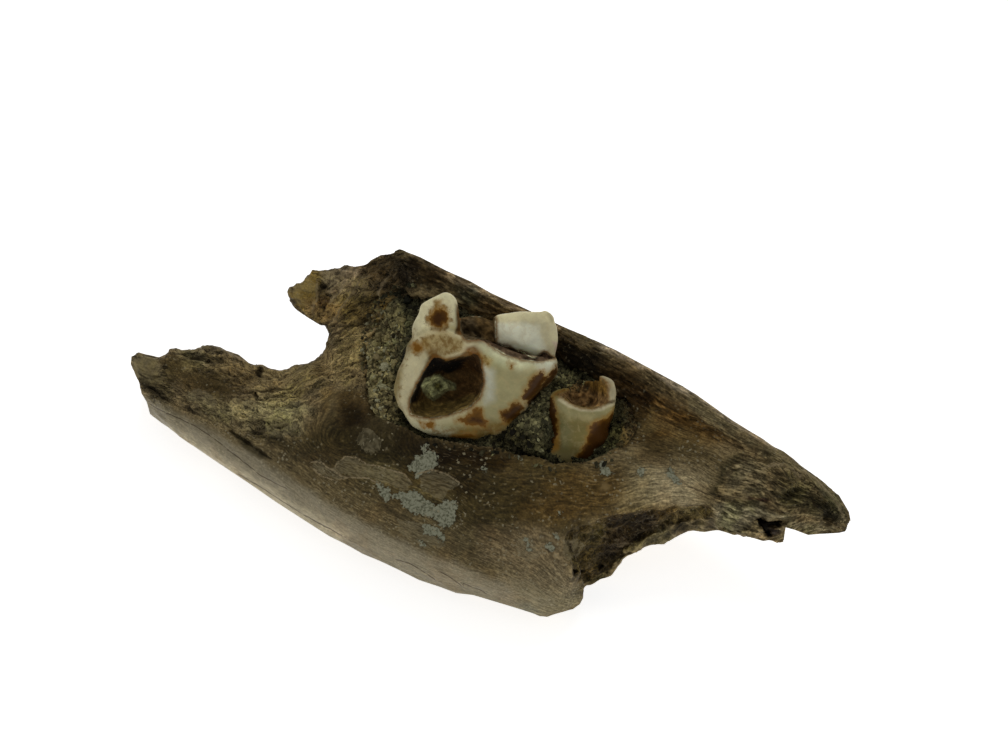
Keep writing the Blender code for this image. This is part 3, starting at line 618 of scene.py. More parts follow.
VEINS = (((356, 270), (347, 279), (339, 291), (332, 302)), ((360, 279), (351, 296), (339, 309), (336, 319)),
         ((387, 278), (381, 288), (379, 300), (378, 311), (382, 321), (386, 334)), ((352, 268), (342, 275), (330, 284)),
         ((317, 282), (316, 291), (318, 298), (314, 304), (313, 315)), ((374, 315), (372, 325), (378, 335)),
         ((350, 268), (362, 277), (370, 276)), ((346, 262), (336, 268), (328, 277)),
         ((765, 470), (772, 464), (782, 465), (792, 470), (800, 476)),
         ((801, 471), (814, 478), (826, 490), (838, 505), (845, 520)))
FILM_EDGES = (((312, 463), (320, 461), (328, 468), (336, 472), (345, 479)), ((314, 470), (322, 476), (334, 480)),
              ((336, 466), (345, 457), (358, 458), (368, 465), (384, 468), (404, 474), (412, 483)),
              ((340, 476), (352, 478), (366, 478), (378, 483)), ((418, 474), (432, 470), (446, 474), (459, 482)))
YELLOW_GRAIN = (605, 487, 4)
SMOOTH = (
    ((340, 392), (352, 388), (372, 398), (398, 424), (412, 446), (380, 456), (350, 444), (338, 414)),
    ((160, 362), (172, 353), (186, 366), (204, 375), (240, 392), (222, 398), (190, 388)),
)
LIP_PULLS = ((400, 440, 16, 3, -8), (430, 452, 18, 0, -6), (465, 458, 18, 0, -5), (500, 464, 18, 0, -7),
             (535, 474, 18, 0, -10), (570, 484, 18, 0, -12), (604, 480, 18, -2, -13), (628, 464, 16, -5, -9))
END_PULLS = ((776, 534, 9, 8, 3), (135, 357, 7, -3, -3))

# %% [markdown]
# Tones of the bone, laid like thin coats of paint, from the broad ones to the small. Some coats are painted
# shade in a crease, slots, hollows and below steps and a ledge, and one is a painted highlight along the lower
# band. A coat has a colour, a softness in pixels and an outline.

# %% Paint on the bone
BONE_BASE = (104, 93, 68)
BONE_GAIN = (1.27, 1.21, 1.07)
BONE_COATS = (
    ((64, 56, 33), 26, ((290, 430), (345, 405), (400, 430), (470, 455), (560, 470), (600, 500), (590, 530),
                        (540, 545), (480, 545), (400, 512), (340, 485), (290, 455))),
    ((83, 69, 40), 16, ((560, 470), (625, 470), (640, 500), (580, 520), (545, 535), (520, 520))),
    ((127, 117, 90), 14, ((630, 470), (668, 464), (712, 482), (706, 504), (650, 506), (620, 506))),
    ((75, 65, 41), 14, ((640, 436), (700, 440), (722, 460), (690, 468), (640, 456))),
    ((84, 76, 55), 14, ((390, 508), (470, 535), (540, 545), (560, 560), (500, 570), (420, 545))),
    ((112, 100, 77), 12, ((480, 532), (540, 526), (575, 545), (568, 575), (520, 570), (480, 556))),
    ((118, 108, 86), 12, ((500, 575), (560, 566), (580, 590), (580, 606), (545, 618), (500, 604))),
    ((96, 88, 60), 8, ((334, 458), (372, 462), (410, 470), (452, 484), (452, 498), (420, 496), (380, 484),
                       (345, 476))),
    # The lower band: its own paler grey-brown, and partly painted sheen.
    ((113, 107, 90), 5, ((138, 392), (210, 428), (260, 456), (300, 482), (350, 515), (420, 549), (500, 580),
                         (544, 620), (440, 600), (340, 560), (200, 470), (140, 420))),
    # A painted highlight along the middle of the lower band.
    ((156, 149, 130), 7, ((166, 426), (230, 463), (300, 507), (350, 535), (340, 544), (290, 516), (220, 476),
                          (160, 434))),
    ((76, 65, 40), 8, ((158, 358), (180, 352), (215, 372), (240, 392), (215, 398), (165, 385))),
    ((128, 114, 80), 8, ((200, 346), (245, 360), (300, 372), (330, 355), (345, 340), (395, 330), (390, 372),
                         (325, 380), (300, 400), (250, 388), (205, 362))),
    ((156, 139, 100), 6, ((325, 352), (345, 332), (376, 326), (386, 350), (376, 378), (340, 385), (322, 372))),
    ((130, 122, 90), 8, ((190, 398), (262, 404), (310, 405), (300, 432), (262, 430), (215, 415))),
    ((58, 50, 30), 6, ((252, 420), (268, 434), (290, 440), (305, 452), (280, 452), (258, 436))),
    # Painted shade in the slot.
    ((56, 50, 31), 4, ((229, 430), (246, 440), (272, 459), (262, 458), (240, 445))),
    ((108, 100, 76), 4, ((131, 355), (150, 354), (162, 366), (164, 376), (150, 388), (136, 378))),
    # Painted shade in the crease at the band's left end.
    ((48, 41, 24), 4, ((139, 382), (152, 382), (168, 396), (166, 404), (150, 398))),
    ((128, 108, 54), 4, ((287, 294), (303, 282), (312, 271), (322, 272), (316, 290), (320, 312), (300, 312))),
    ((118, 106, 86), 5, ((322, 272), (345, 264), (362, 270), (345, 290), (330, 300))),
    ((138, 116, 74), 5, ((304, 300), (330, 298), (345, 312), (325, 324), (308, 318))),
    ((58, 48, 26), 8, ((362, 262), (400, 250), (425, 262), (410, 290), (370, 296))),
    ((118, 102, 58), 8, ((340, 298), (395, 294), (385, 325), (345, 328))),
    ((118, 112, 74), 6, ((376, 332), (398, 328), (396, 400), (374, 396), (370, 360))),
    ((100, 86, 55), 5, ((318, 388), (332, 384), (338, 396), (324, 412))),
    ((70, 57, 32), 6, ((334, 390), (360, 390), (376, 410), (360, 428), (338, 424))),
    ((40, 30, 6), 4, ((340, 404), (362, 406), (364, 424), (346, 426))),
    ((69, 53, 27), 14, ((420, 262), (560, 335), (690, 405), (760, 450), (700, 440), (620, 400), (540, 352))),
    # Painted shadow in the hollow between the far rim and the teeth.
    ((24, 19, 9), 12, ((556, 335), (600, 352), (606, 380), (575, 382), (556, 368))),
    ((136, 122, 98), 2.5, ((404, 251), (447, 271), (500, 297), (560, 326), (556, 330), (500, 303), (440, 275))),
    ((152, 140, 120), 2, ((600, 341), (690, 388), (750, 431), (780, 446), (776, 450), (740, 432), (684, 392),
                          (600, 346))),
    ((92, 84, 62), 4, ((690, 392), (750, 434), (800, 466), (790, 470), (740, 442), (690, 408))),
    ((44, 34, 4), 4, FRACTURE),
    ((60, 52, 26), 7, ((568, 542), (590, 527), (612, 524), (606, 545), (600, 566), (576, 570))),
    ((84, 73, 44), 5, ((655, 512), (690, 508), (712, 510), (700, 516), (660, 524))),
    ((104, 95, 66), 2.5, ((584, 580), (602, 574), (612, 566), (616, 568), (602, 582), (588, 586))),
    ((88, 80, 62), 4, ((628, 552), (650, 540), (675, 528), (714, 520), (720, 531), (690, 531), (662, 545),
                       (645, 545))),
    # Painted shadow below the mound's step.
    ((56, 52, 34), 5, ((706, 497), (717, 482), (719, 473), (728, 461), (738, 456), (734, 464), (726, 473), (722, 484),
                       (716, 494))),
    ((110, 102, 78), 5, ((736, 464), (750, 460), (766, 466), (768, 490), (748, 496), (728, 490))),
    ((84, 74, 52), 5, ((768, 470), (784, 466), (800, 478), (798, 488), (780, 494), (768, 488))),
    # Painted shade below the round lump.
    ((58, 50, 30), 4, ((772, 490), (784, 493), (798, 487), (803, 480), (802, 492), (786, 499), (774, 498))),
    # Painted shadow under the ledge's overhanging edge.
    ((52, 32, 20), 2, ((738, 497), (752, 497), (768, 499), (778, 503), (766, 503), (745, 501))),
    ((118, 112, 92), 4, ((716, 502), (755, 504), (786, 514), (790, 520), (755, 520), (742, 532), (716, 530))),
    ((110, 102, 80), 4, ((788, 518), (815, 524), (840, 529), (820, 533), (796, 530), (786, 525))),
    # Painted shade in the oval hollow near the tip.
    ((33, 29, 14), 6, ((806, 494), (832, 500), (842, 516), (838, 526), (824, 520))),
    ((100, 95, 73), 3, ((800, 468), (826, 486), (849, 514), (848, 528), (842, 522), (822, 492))),
    # The deep slot painted near black: painted shade.
    ((28, 20, 10), 3, ((759, 521), (766, 520), (778, 524), (778, 534), (770, 536), (763, 529))),
)

# Factors on the bone's colour: mostly its own tone, with painted shade under the molar, along the sediment's edge and
# on the trough wall right of the small tooth.
BONE_TONE_AND_SHADE = (
    ((0.95, 0.95, 0.93), 20, ((90, 220), (890, 220), (890, 650), (90, 650))),
    ((0.70, 0.68, 0.64), 7, ((338, 366), (384, 364), (384, 388), (342, 390))),
    ((0.74, 0.73, 0.68), 6, ((372, 284), (404, 290), (404, 322), (376, 326))),
    ((0.76, 0.76, 0.78), 7, ((722, 464), (768, 468), (768, 490), (726, 488))),
    ((1.30, 1.34, 1.40), 5, ((678, 508), (700, 504), (702, 522), (682, 526))),
    ((0.70, 0.67, 0.58), 5, ((600, 548), (622, 534), (640, 528), (640, 540), (616, 560), (600, 566))),
    ((1.30, 1.26, 1.08), 6, ((580, 546), (600, 546), (600, 572), (582, 574))),
    ((0.80, 0.84, 0.83), 8, ((516, 588), (580, 588), (584, 618), (516, 618))),
    # These two darken under the molar and along the sediment's edge: painted shade over the bone's own orange-brown.
    ((0.50, 0.46, 0.38), 8, ((390, 420), (420, 430), (450, 440), (500, 446), (500, 457), (440, 464), (398, 450))),
    ((0.28, 0.21, 0.07), 9, ((432, 446), (460, 446), (500, 451), (518, 460), (500, 472), (470, 470), (438, 466))),
    ((0.52, 0.46, 0.34), 10, ((396, 462), (440, 468), (474, 472), (486, 486), (470, 500), (440, 495), (400, 484))),
    ((0.52, 0.52, 0.47), 11, ((335, 412), (372, 408), (398, 418), (424, 440), (438, 454), (420, 466), (400, 466),
                              (350, 458), (326, 434))),
    ((0.74, 0.70, 0.52), 10, ((500, 440), (540, 448), (580, 466), (560, 480), (510, 472))),
    ((0.74, 0.72, 0.68), 8, ((474, 526), (514, 530), (516, 548), (480, 548))),
    ((0.92, 0.86, 0.74), 16, ((500, 474), (620, 470), (640, 500), (600, 520), (520, 520), (490, 500))),
    ((0.55, 0.46, 0.24), 6, ((604, 514), (640, 508), (676, 508), (656, 528), (622, 550), (600, 560))),
    ((1.75, 1.75, 1.80), 12, ((655, 400), (690, 410), (720, 430), (745, 448), (770, 460), (752, 472), (720, 452),
                              (690, 436), (660, 420))),
    ((1.05, 0.97, 0.75), 8, ((630, 394), (680, 410), (720, 440), (690, 448), (640, 434))),
    ((0.80, 0.72, 0.60), 3, ((600, 457), (630, 441), (664, 430), (700, 441), (664, 436), (632, 447))),
    ((1.35, 1.38, 1.52), 12, ((650, 470), (672, 446), (700, 446), (708, 462), (702, 486), (698, 502), (684, 520),
                              (660, 500))),
    ((0.50, 0.52, 0.49), 6, ((776, 490), (806, 484), (824, 500), (820, 520), (800, 510), (780, 504))),
    ((0.24, 0.22, 0.17), 6, ((396, 262), (416, 256), (444, 270), (440, 286), (404, 290))),
    ((0.50, 0.65, 0.78), 6, ((452, 286), (474, 288), (480, 306), (462, 304))),
    ((1.65, 1.60, 1.65), 7, ((348, 268), (372, 262), (384, 276), (370, 290), (352, 294), (338, 310), (342, 336),
                             (330, 336), (328, 312), (340, 288))),
    ((0.45, 0.38, 0.26), 4, ((316, 286), (334, 292), (330, 308), (318, 306))),
    ((1.75, 1.80, 1.80), 7, ((252, 390), (290, 386), (304, 400), (296, 412), (276, 412), (262, 406), (250, 416),
                             (236, 418), (236, 408), (252, 402))),
    ((0.66, 0.63, 0.58), 8, ((196, 384), (214, 370), (236, 364), (260, 372), (254, 394), (238, 402), (214, 406),
                             (200, 398))),
    ((2.4, 2.6, 3.0), 4, ((176, 350), (202, 350), (206, 366), (184, 370))),
    ((0.66, 0.66, 0.66), 6, ((262, 446), (286, 448), (304, 458), (290, 470), (266, 462))),
    ((0.72, 0.70, 0.70), 10, ((296, 442), (340, 448), (372, 458), (360, 470), (320, 474), (300, 462))),
    # Painted shade on the trough wall right of the small tooth.
    ((0.38, 0.34, 0.26), 6, ((614, 364), (640, 380), (652, 400), (646, 426), (630, 432), (622, 410), (618, 390))),
)

# %% [markdown]
# The bone is carved in layers, from large to small. The broken parts get lumps, ridges that follow the grain
# and small hollows; the rest gets only a low grain along the jaw. Slots and pits are cut in, and each layer
# leaves a mask behind, so that the material knows where it is.

# %% The jaw bone


def most(shares):
    """The largest of several masks at each point."""
    return np.max(np.stack(list(shares)), axis=0)


def line_masks(blank, lines, wander):
    """The side of the nearest line and how near it is: the line lies where the side changes."""
    wander = noise_at(blank.points, wander, 2, 21.0)[:, None] * 1.5
    near = np.full(len(blank.points), 99.0)
    side = np.full(len(blank.points), 99.0)
    for line in lines:
        distance, place, hand = nearest_on_line(blank.pixels + wander, line)
        nearer = distance < near
        near[nearer] = distance[nearer]
        side[nearer] = (distance * hand)[nearer]
    return 0.5 + side / LINE_SPAN, fade(near, 3.5, 2.0) * (blank.front > 0.2)


def sculpt_bone():
    bone = Blank("jaw_bone_fossil", "jaw_bone", 0.145, 7)
    bone.pull(LIP_PULLS, bone.front)
    bone.pull(END_PULLS)
    ragged = noise_at(bone.points, 0.8, 4) * 6
    edge_on = fade(np.abs(bone.normals @ np.array(BACK)), 0.5, 0.2)
    bone.push(0.12 * edge_on)
    fracture = fade(outline_distance(bone.pixels, FRACTURE) + ragged * 0.4, 2, -4) * bone.front
    step = fade(line_distance(bone.pixels, MOUND_STEP) + ragged * 0.5, 7, 0)
    lump = fade(outline_distance(bone.pixels, ROUND_LUMP) + ragged * 0.15, 1, -6)
    ledge = fade(outline_distance(bone.pixels, LEDGE), 1, -1)
    deep_slot = fade(outline_distance(bone.pixels, DEEP_SLOT), 1, -1)
    oval = fade(outline_distance(bone.pixels, HOLLOW), 1, -4)
    bone.sink((0.1 * step - 0.8 * lump + 0.5 * fracture + 0.4 * ledge + 1.2 * deep_slot + 0.4 * oval) * bone.front)

    points = bone.points
    pixels = bone.pixels
    front = bone.front
    flow = flow_at(pixels)
    tangle = 0.35 * noise_at(points, 0.7, 2, 31.0)
    along_flow = np.stack([points[:, 0] * 0.4, flow + tangle, points[:, 2] * 0.4], axis=1)
    smooth = most(fade(outline_distance(pixels, outline) + ragged, 6, -4) for outline in SMOOTH) * front
    broken = most(fade(outline_distance(pixels, outline) + ragged, 8, -8) for outline in ROUGH)
    rough = broken * front * (1 - 0.75 * smooth)
    ends = np.maximum(fade(points[:, 0], -23, -29), fade(points[:, 0], 17, 24))
    rough = np.maximum(rough, 0.6 * ends * fade(noise_at(points, 0.25, 2, 7.0), -0.1, 0.35) * (1 - front))
    notch_wall = fade(bone.normals[:, 0], -0.3, -0.7) * fade(points[:, 0], -8, -14)
    rough = np.maximum(rough, 0.9 * notch_wall * (1 - front))
    wall = fade(flow + 0.1 * ragged, 14.5, 16) * front * fade(points[:, 0], -20, -16) * (1 - 0.6 * rough)
    lumps = noise_at(points, 0.38, 3, 11.0)
    seen_strands = ridges_at(along_flow, (1, 1.1, 1), 4, 3.0)
    strands = seen_strands * front + ridges_at(points, (0.3, 1.2, 1.2), 3) * (1 - front)
    mossy = noise_at(points, 1.3, 3, 13.0)
    hollows = fade(noise_at(along_flow, (0.8, 0.7, 0.8), 3, 5.0), 0.32, 0.6) * (1 - 0.8 * fade(points[:, 0], 11, 15))
    fibrous = rough * (1 - fracture)
    height = fibrous * (0.2 * lumps + 0.32 * (strands - 0.5) - 0.25 * hollows)
    height += rough * fracture * (0.35 * lumps + 0.3 * mossy)
    height += wall * 0.34 * (strands - 0.5)
    height += (1 - rough) * (0.025 * strands + 0.04 * lumps)
    height = height * (1 - 0.75 * fade(flow, 16.5, 18.5) * fade(points[:, 0], 12, 16))

    slot = most(fade(line_distance(pixels, line) + ragged * 0.3, 3, 0) for line in SLOTS) * front
    pit = most(fade(spot_distance(pixels, spot) + ragged * 0.4, 1, -2) for spot in PITS) * front
    shade = fade(line_distance(pixels, LEDGE_LINE) + ragged * 0.15, 3, 0.5) * front
    crust = -np.min([outline_distance(pixels, outline) for outline in CRUSTS], axis=0)
    faint = -np.min([outline_distance(pixels, outline) for outline in FAINT_CRUSTS], axis=0)
    olive = most(fade(spot_distance(pixels, spot) + ragged * 0.2, 2, -4) for spot in OLIVE_LUMPS)
    olive = olive * fade(points[:, 0], -15, -17)
    vein = most(fade(line_distance(pixels + ragged[:, None] * 0.25, line), 2.2, 0.4) for line in VEINS) * front
    height = height * (1 - 0.75 * olive) + 0.14 * vein
    below_crease = pixels[:, 1] - np.interp(pixels[:, 0], [x for x, y in BAND_CREASE], [y for x, y in BAND_CREASE])
    band_edge = 2 + fade(pixels[:, 0], 250, 420) * 9
    band = fade(below_crease + ragged * 0.3, -band_edge, band_edge) * fade(points[:, 1], -5, -8)
    band = band * fade(pixels[:, 0], 600, 480)
    lying = fade(points[:, 2], 0.6, 0.15)
    crack_side, crack_near = line_masks(bone, CRACKS, 0.5)
    pale_side, pale_near = line_masks(bone, VEINS + FILM_EDGES, 1.3)
    # The coats and factors hold the bone's tones, with painted shade in creases, slots, hollows and under the teeth,
    # and a painted highlight on the lower band.
    seen = painted(pixels, BONE_BASE, BONE_COATS, ragged * 0.6, front) * np.array(BONE_GAIN)
    seen = toned_and_shaded(seen, pixels, BONE_TONE_AND_SHADE, ragged * 0.6, front)
    hidden = np.array(colour(104, 92, 68)) * (1 + 0.5 * noise_at(points, 0.12, 3, 40.0))[:, None]
    bone.tint = seen * front[:, None] + hidden * (1 - front)[:, None]
    bone.masks = {
        "front": front,
        "flow": flow / FLOW_SPAN,
        "rough": rough * (1 - 0.8 * olive),
        "wall": wall,
        "tangled": rough * np.maximum(fade(points[:, 0], 4, -6), 0.8 * fracture),
        "fringe": fibrous * fade(points[:, 0], 4, -6) * (1 - smooth),
        # The carved height, which the material also uses to paint the low places darker and the high ones lighter:
        # painted shade.
        "relief": 0.5 + height,
        "smooth": smooth,
        # Hollows between fibres, pits, slots, the deep slot and the line under the ledge: painted shade in recesses.
        "hollow_shade": most([fibrous * hollows * 0.6, pit * 0.8, slot * 0.5, deep_slot * front, shade * 0.5]),
        "crust": (0.5 + crust / LINE_SPAN) * (front > 0.3),
        "faint": (0.5 + faint / LINE_SPAN) * (front > 0.3),
        "olive": olive,
        "band": band,
        "vein": vein,
        "crack_side": crack_side,
        "crack_near": crack_near,
        "pale_side": pale_side,
        "pale_near": pale_near,
        "yellow": fade(spot_distance(pixels, YELLOW_GRAIN), 1.5, -1.5) * front,
    }
    sunk = 0.4 * slot + 0.5 * pit + 0.15 * shade
    bone.push(height * (1 - lying))
    bone.sink(sunk)
    open_notch(bone, NOTCH_ROOF)
    edge_noise = 1.6 * noise_at(points, 1.4, 3, 51.0)
    trim(bone, OUTLINE, edge_noise * (0.1 + 0.9 * broken * fade(pixels[:, 0], 760, 560)))
    bone.points[:, 2] = np.maximum(bone.points[:, 2], 0)
    bone.write()
    return bone


def bone_look():
    look = Look("fossil_bone", 0.65, 0.1)
    rough = look.mask("rough")
    band = look.mask("band")
    smooth = look.mask("smooth")
    tangled = look.mask("tangled")
    fibrous = look.maths("MAXIMUM", rough, look.maths("MULTIPLY", look.mask("wall"), 0.7))
    matted = look.maths("SUBTRACT", look.grain(1.1, (1, 1, 1), 2), 0.5)
    tangle = look.maths("MULTIPLY", matted, look.blended(tangled, 0.25, 1.8))
    broad = look.flowing(0.12, 0.9, 2, tangle)
    strands = look.flowing(0.6, 2.8, 2, tangle)
    thick = look.flowing(1.4, 5.0, 1, tangle)
    thin = look.flowing(1.5, 10.0, 1, tangle)
    fine = look.blended(fibrous, thin, thick)
    fringe = look.mask("fringe")
    crisp = look.blended(fibrous, 16.0, look.blended(fringe, 44.0, 300.0))
    felt = look.grain(4.6, (1, 1, 1), 3, 0.7, 2.0)
    grit = look.grain(5.0, (1, 1, 1), 2)
    strut = look.net(0.8, 2.4, tangle)
    plain = look.maths("MAXIMUM", band, smooth)
    tone = look.contrast(strands, look.blended(plain, look.blended(fibrous, 2.6, look.blended(fringe, 14.0, 34.0)), 1.5))
    tone = look.maths("MULTIPLY", tone, look.contrast(fine, look.blended(plain, crisp, 3.0)))
    tone = look.maths("MULTIPLY", tone, look.contrast(broad, look.blended(plain, 2.2, 1.4)))
    tone = look.maths("MULTIPLY", tone, look.contrast(grit, look.blended(band, look.blended(rough, 8.0, 12.0), 2.5)))
    tone = look.maths("MULTIPLY", tone, look.contrast(felt, look.blended(tangled, 2.0, 420.0)))
    # Low places of the carved relief are darker and high ones lighter: painted shade.
    tone = look.maths("MULTIPLY", tone, look.contrast(look.mask("relief"), look.blended(fibrous, 1.0, 12.0)))
    hole = look.maths("MULTIPLY", look.spread(strut, 0.12, 0.4, 0.0, 0.6), tangled)
    tone = look.maths("MULTIPLY", tone, look.maths("SUBTRACT", 1.1, hole))
    whole = look.shaded(look.tint(), look.maths("MINIMUM", tone, 3.6))
    pale = look.mixed(0.45, look.shaded(look.tint(), (2.0, 2.0, 2.0)), colour(152, 136, 108))
    whole = look.mixed(look.spread(tone, 1.8, 4.5, 0.0, 0.45), whole, pale)
    patches = look.grain(0.3, (1, 1, 1), 3)
    green = look.maths("MULTIPLY", look.spread(patches, 0.5, 0.62), rough)
    whole = look.mixed(green, whole, look.shaded(whole, (0.95, 1.0, 0.86)))
    whole = look.mixed(look.spread(patches, 0.5, 0.38), whole, look.shaded(whole, (1.03, 0.98, 0.94)))
    strutted = look.maths("MULTIPLY", look.spread(strut, 0.1, 0.02, 0.0, 0.3), tangled)
    whole = look.mixed(strutted, whole, pale)
    flecks = look.maths("MULTIPLY", look.spread(fine, 0.62, 0.7), look.blended(band, 0.45, 0.2))
    flecks = look.maths("MULTIPLY", flecks, look.spread(patches, 0.4, 0.6))
    whole = look.mixed(flecks, whole, pale)
    lines = look.maths("MAXIMUM", look.thread(felt, 0.025), look.thread(strands, 0.035))
    threads = look.maths("MULTIPLY", lines, look.blended(fringe, 0.1, 0.8))
    whole = look.mixed(threads, whole, pale)
    ragged = look.maths("SUBTRACT", look.grain(1.6, (1, 1, 1), 6, 0.78), 0.5)
    film_edge = look.maths("ADD", look.mask("faint"), look.maths("MULTIPLY", ragged, 1.1))
    film = look.maths("MULTIPLY", look.spread(film_edge, 0.48, 0.54), look.spread(fine, 0.36, 0.62, 0.12, 0.45))
    film = look.maths("MAXIMUM", film, look.maths("MULTIPLY", look.thread(film_edge, 0.035), 0.55))
    whole = look.mixed(film, whole, colour(146, 136, 106))
    edge = look.maths("ADD", look.mask("crust"), look.maths("MULTIPLY", ragged, 0.9))
    edge = look.maths("ADD", edge, look.maths("MULTIPLY", look.maths("SUBTRACT", grit, 0.5), 0.45))
    solid = look.spread(edge, 0.49, 0.53)
    crust = look.mixed(look.spread(grit, 0.32, 0.6), colour(98, 98, 76), colour(154, 154, 130))
    whole = look.mixed(solid, whole, crust)
    dots = look.maths("MULTIPLY", look.flakes(6.5, 0.045), look.spread(patches, 0.4, 0.55))
    dots = look.maths("MULTIPLY", dots, look.blended(fibrous, 0.75, 0.2))
    whole = look.mixed(dots, whole, colour(160, 150, 120))
    vein = look.maths("MAXIMUM", look.maths("MULTIPLY", look.mask("vein"), 0.4),
                      look.maths("MULTIPLY", look.drawn("pale", 0.08), look.spread(grit, 0.4, 0.55, 0.2, 0.85)))
    whole = look.mixed(vein, whole, colour(164, 146, 112))
    amber = look.mixed(look.spread(matted, -0.15, 0.15), look.tint(), colour(168, 150, 98))
    whole = look.mixed(look.maths("MULTIPLY", look.mask("olive"), 0.5), whole, amber)
    whole = look.mixed(look.mask("yellow"), whole, colour(134, 112, 70))
    line = look.drawn("crack", 0.05)
    gone = look.spread(look.grain(0.9, (1, 1, 1), 2), 0.36, 0.46, 0.0, 0.75)
    whole = look.mixed(look.maths("MULTIPLY", line, gone), whole, colour(60, 46, 32))
    # Hollows, pits, slots and the line under the ledge are painted near black: painted shade.
    whole = look.mixed(look.mask("hollow_shade"), whole, colour(24, 18, 9))
    roughness = look.spread(band, 0.0, 1.0, 0.7, 0.45)
    height = look.maths("MULTIPLY", strands, look.blended(plain, look.blended(fibrous, 0.3, 1.0), 0.1))
    height = look.maths("ADD", height, look.maths("MULTIPLY", fine, look.blended(plain, look.blended(fringe, 0.6, 1.5), 0.15)))
    height = look.maths("ADD", height, look.maths("MULTIPLY", grit, look.blended(rough, 0.1, 0.4)))
    height = look.maths("ADD", height, look.maths("MULTIPLY", felt, look.blended(tangled, 0.0, 0.8)))
    height = look.maths("ADD", height, look.maths("MULTIPLY", solid, 0.6))
    height = look.maths("SUBTRACT", height, look.maths("MULTIPLY", line, 0.3))
    return look.finish(whole, height, 0.1, roughness)


bone = sculpt_bone()
bone.finish(bone_look(), "fossil_bone", 195000)

# %% [markdown]
# The molar is a cream crown with a horn, a shoulder, a broken basin and a far blade. Enamel is smooth and
# glossy, so its mesh stays clean and the marks are mostly colour: orange-brown stains, and dark dentine where
# the enamel is gone. A stain keeps its distance field, and the material draws its edge, so that the edge is
# as sharp and as ragged as it should be.
# Painted shade darkens the near face and the basin's upper part; painted light whitens the horn and the blade.

# %% Marks on the teeth
BASIN = ((430, 362), (434, 357), (440, 358), (446, 361), (453, 359), (460, 357), (467, 356), (473, 354),
         (478, 355), (481, 360), (482, 369), (484, 380), (482, 392), (479, 399), (472, 406),
         (461, 411), (448, 415), (434, 418), (419, 417), (411, 414), (409, 408), (411, 397), (416, 386),
         (422, 375), (428, 365))
MATRIX_LUMP = ((421, 386), (425, 378), (431, 377), (434, 374), (440, 374), (445, 379), (450, 380), (456, 384),
               (456, 390), (448, 391), (441, 396), (434, 401), (427, 398), (423, 393))
CORE = ((460, 313), (468, 315), (478, 317), (488, 316), (495, 317), (496, 327), (496, 340), (495, 347), (490, 346),
        (484, 341), (478, 340), (470, 341), (466, 340), (461, 334))
GAP = ((484, 340), (490, 341), (495, 343), (501, 345), (509, 347), (517, 351), (522, 352), (528, 355), (532, 357),
       (536, 358), (539, 356), (542, 353), (544, 352), (548, 353), (550, 356), (554, 358), (551, 359), (545, 361),
       (539, 362), (532, 361), (522, 360), (514, 357), (507, 355), (500, 352), (495, 349), (490, 345), (488, 341))
MOLAR_PULLS = ((424, 304, 8, -4, -1), (415, 320, 8, -1, 0), (408, 343, 9, -4, 0), (403, 417, 13, 2, -2), (480, 376, 9, 3, 0), (477, 395, 9, 3, 1),
               (467, 405, 8, 2, 2), (451, 412, 8, 0, 3), (524, 412, 8, 3, 2), (505, 430, 8, 3, 2), (482, 440, 8, 1, 2))
CREASE = ((419, 334), (426, 329), (433, 328), (442, 329), (450, 329), (458, 332))
RIDGE_CREST = ((466, 341), (479, 341), (492, 349), (502, 354), (513, 358), (524, 362), (535, 364), (545, 363),
               (556, 361))
MOLAR_STAINS = (
    (0.75, ((430, 318), (434, 311), (442, 308), (447, 313), (448, 321), (441, 327), (432, 325))),
    (0.9, ((543, 371), (537, 373), (531, 378), (529, 384), (525, 391), (522, 398), (529, 401), (536, 396), (542, 387),
           (546, 378))),
    (1.0, ((556, 366), (559, 372), (552, 381), (546, 388), (538, 398), (530, 406), (525, 403), (539, 390), (546, 378))),
    (0.8, ((501, 411), (508, 410), (512, 403), (517, 402), (521, 405), (525, 408), (521, 413), (514, 421), (506, 423),
           (501, 417))),
    (0.5, ((474, 408), (481, 409), (482, 415), (488, 421), (485, 427), (475, 426), (465, 425), (466, 422), (457, 422),
           (457, 419), (467, 416), (472, 412))),
    (0.2, ((421, 422), (433, 423), (431, 427), (424, 426))),
    (0.2, ((414, 345), (419, 345), (421, 350), (415, 351))),
    (0.2, ((509, 363), (513, 364), (511, 368))),
    (0.4, ((452, 437), (474, 433), (474, 437), (456, 440))),
)
MOLAR_BASE = (218, 208, 166)
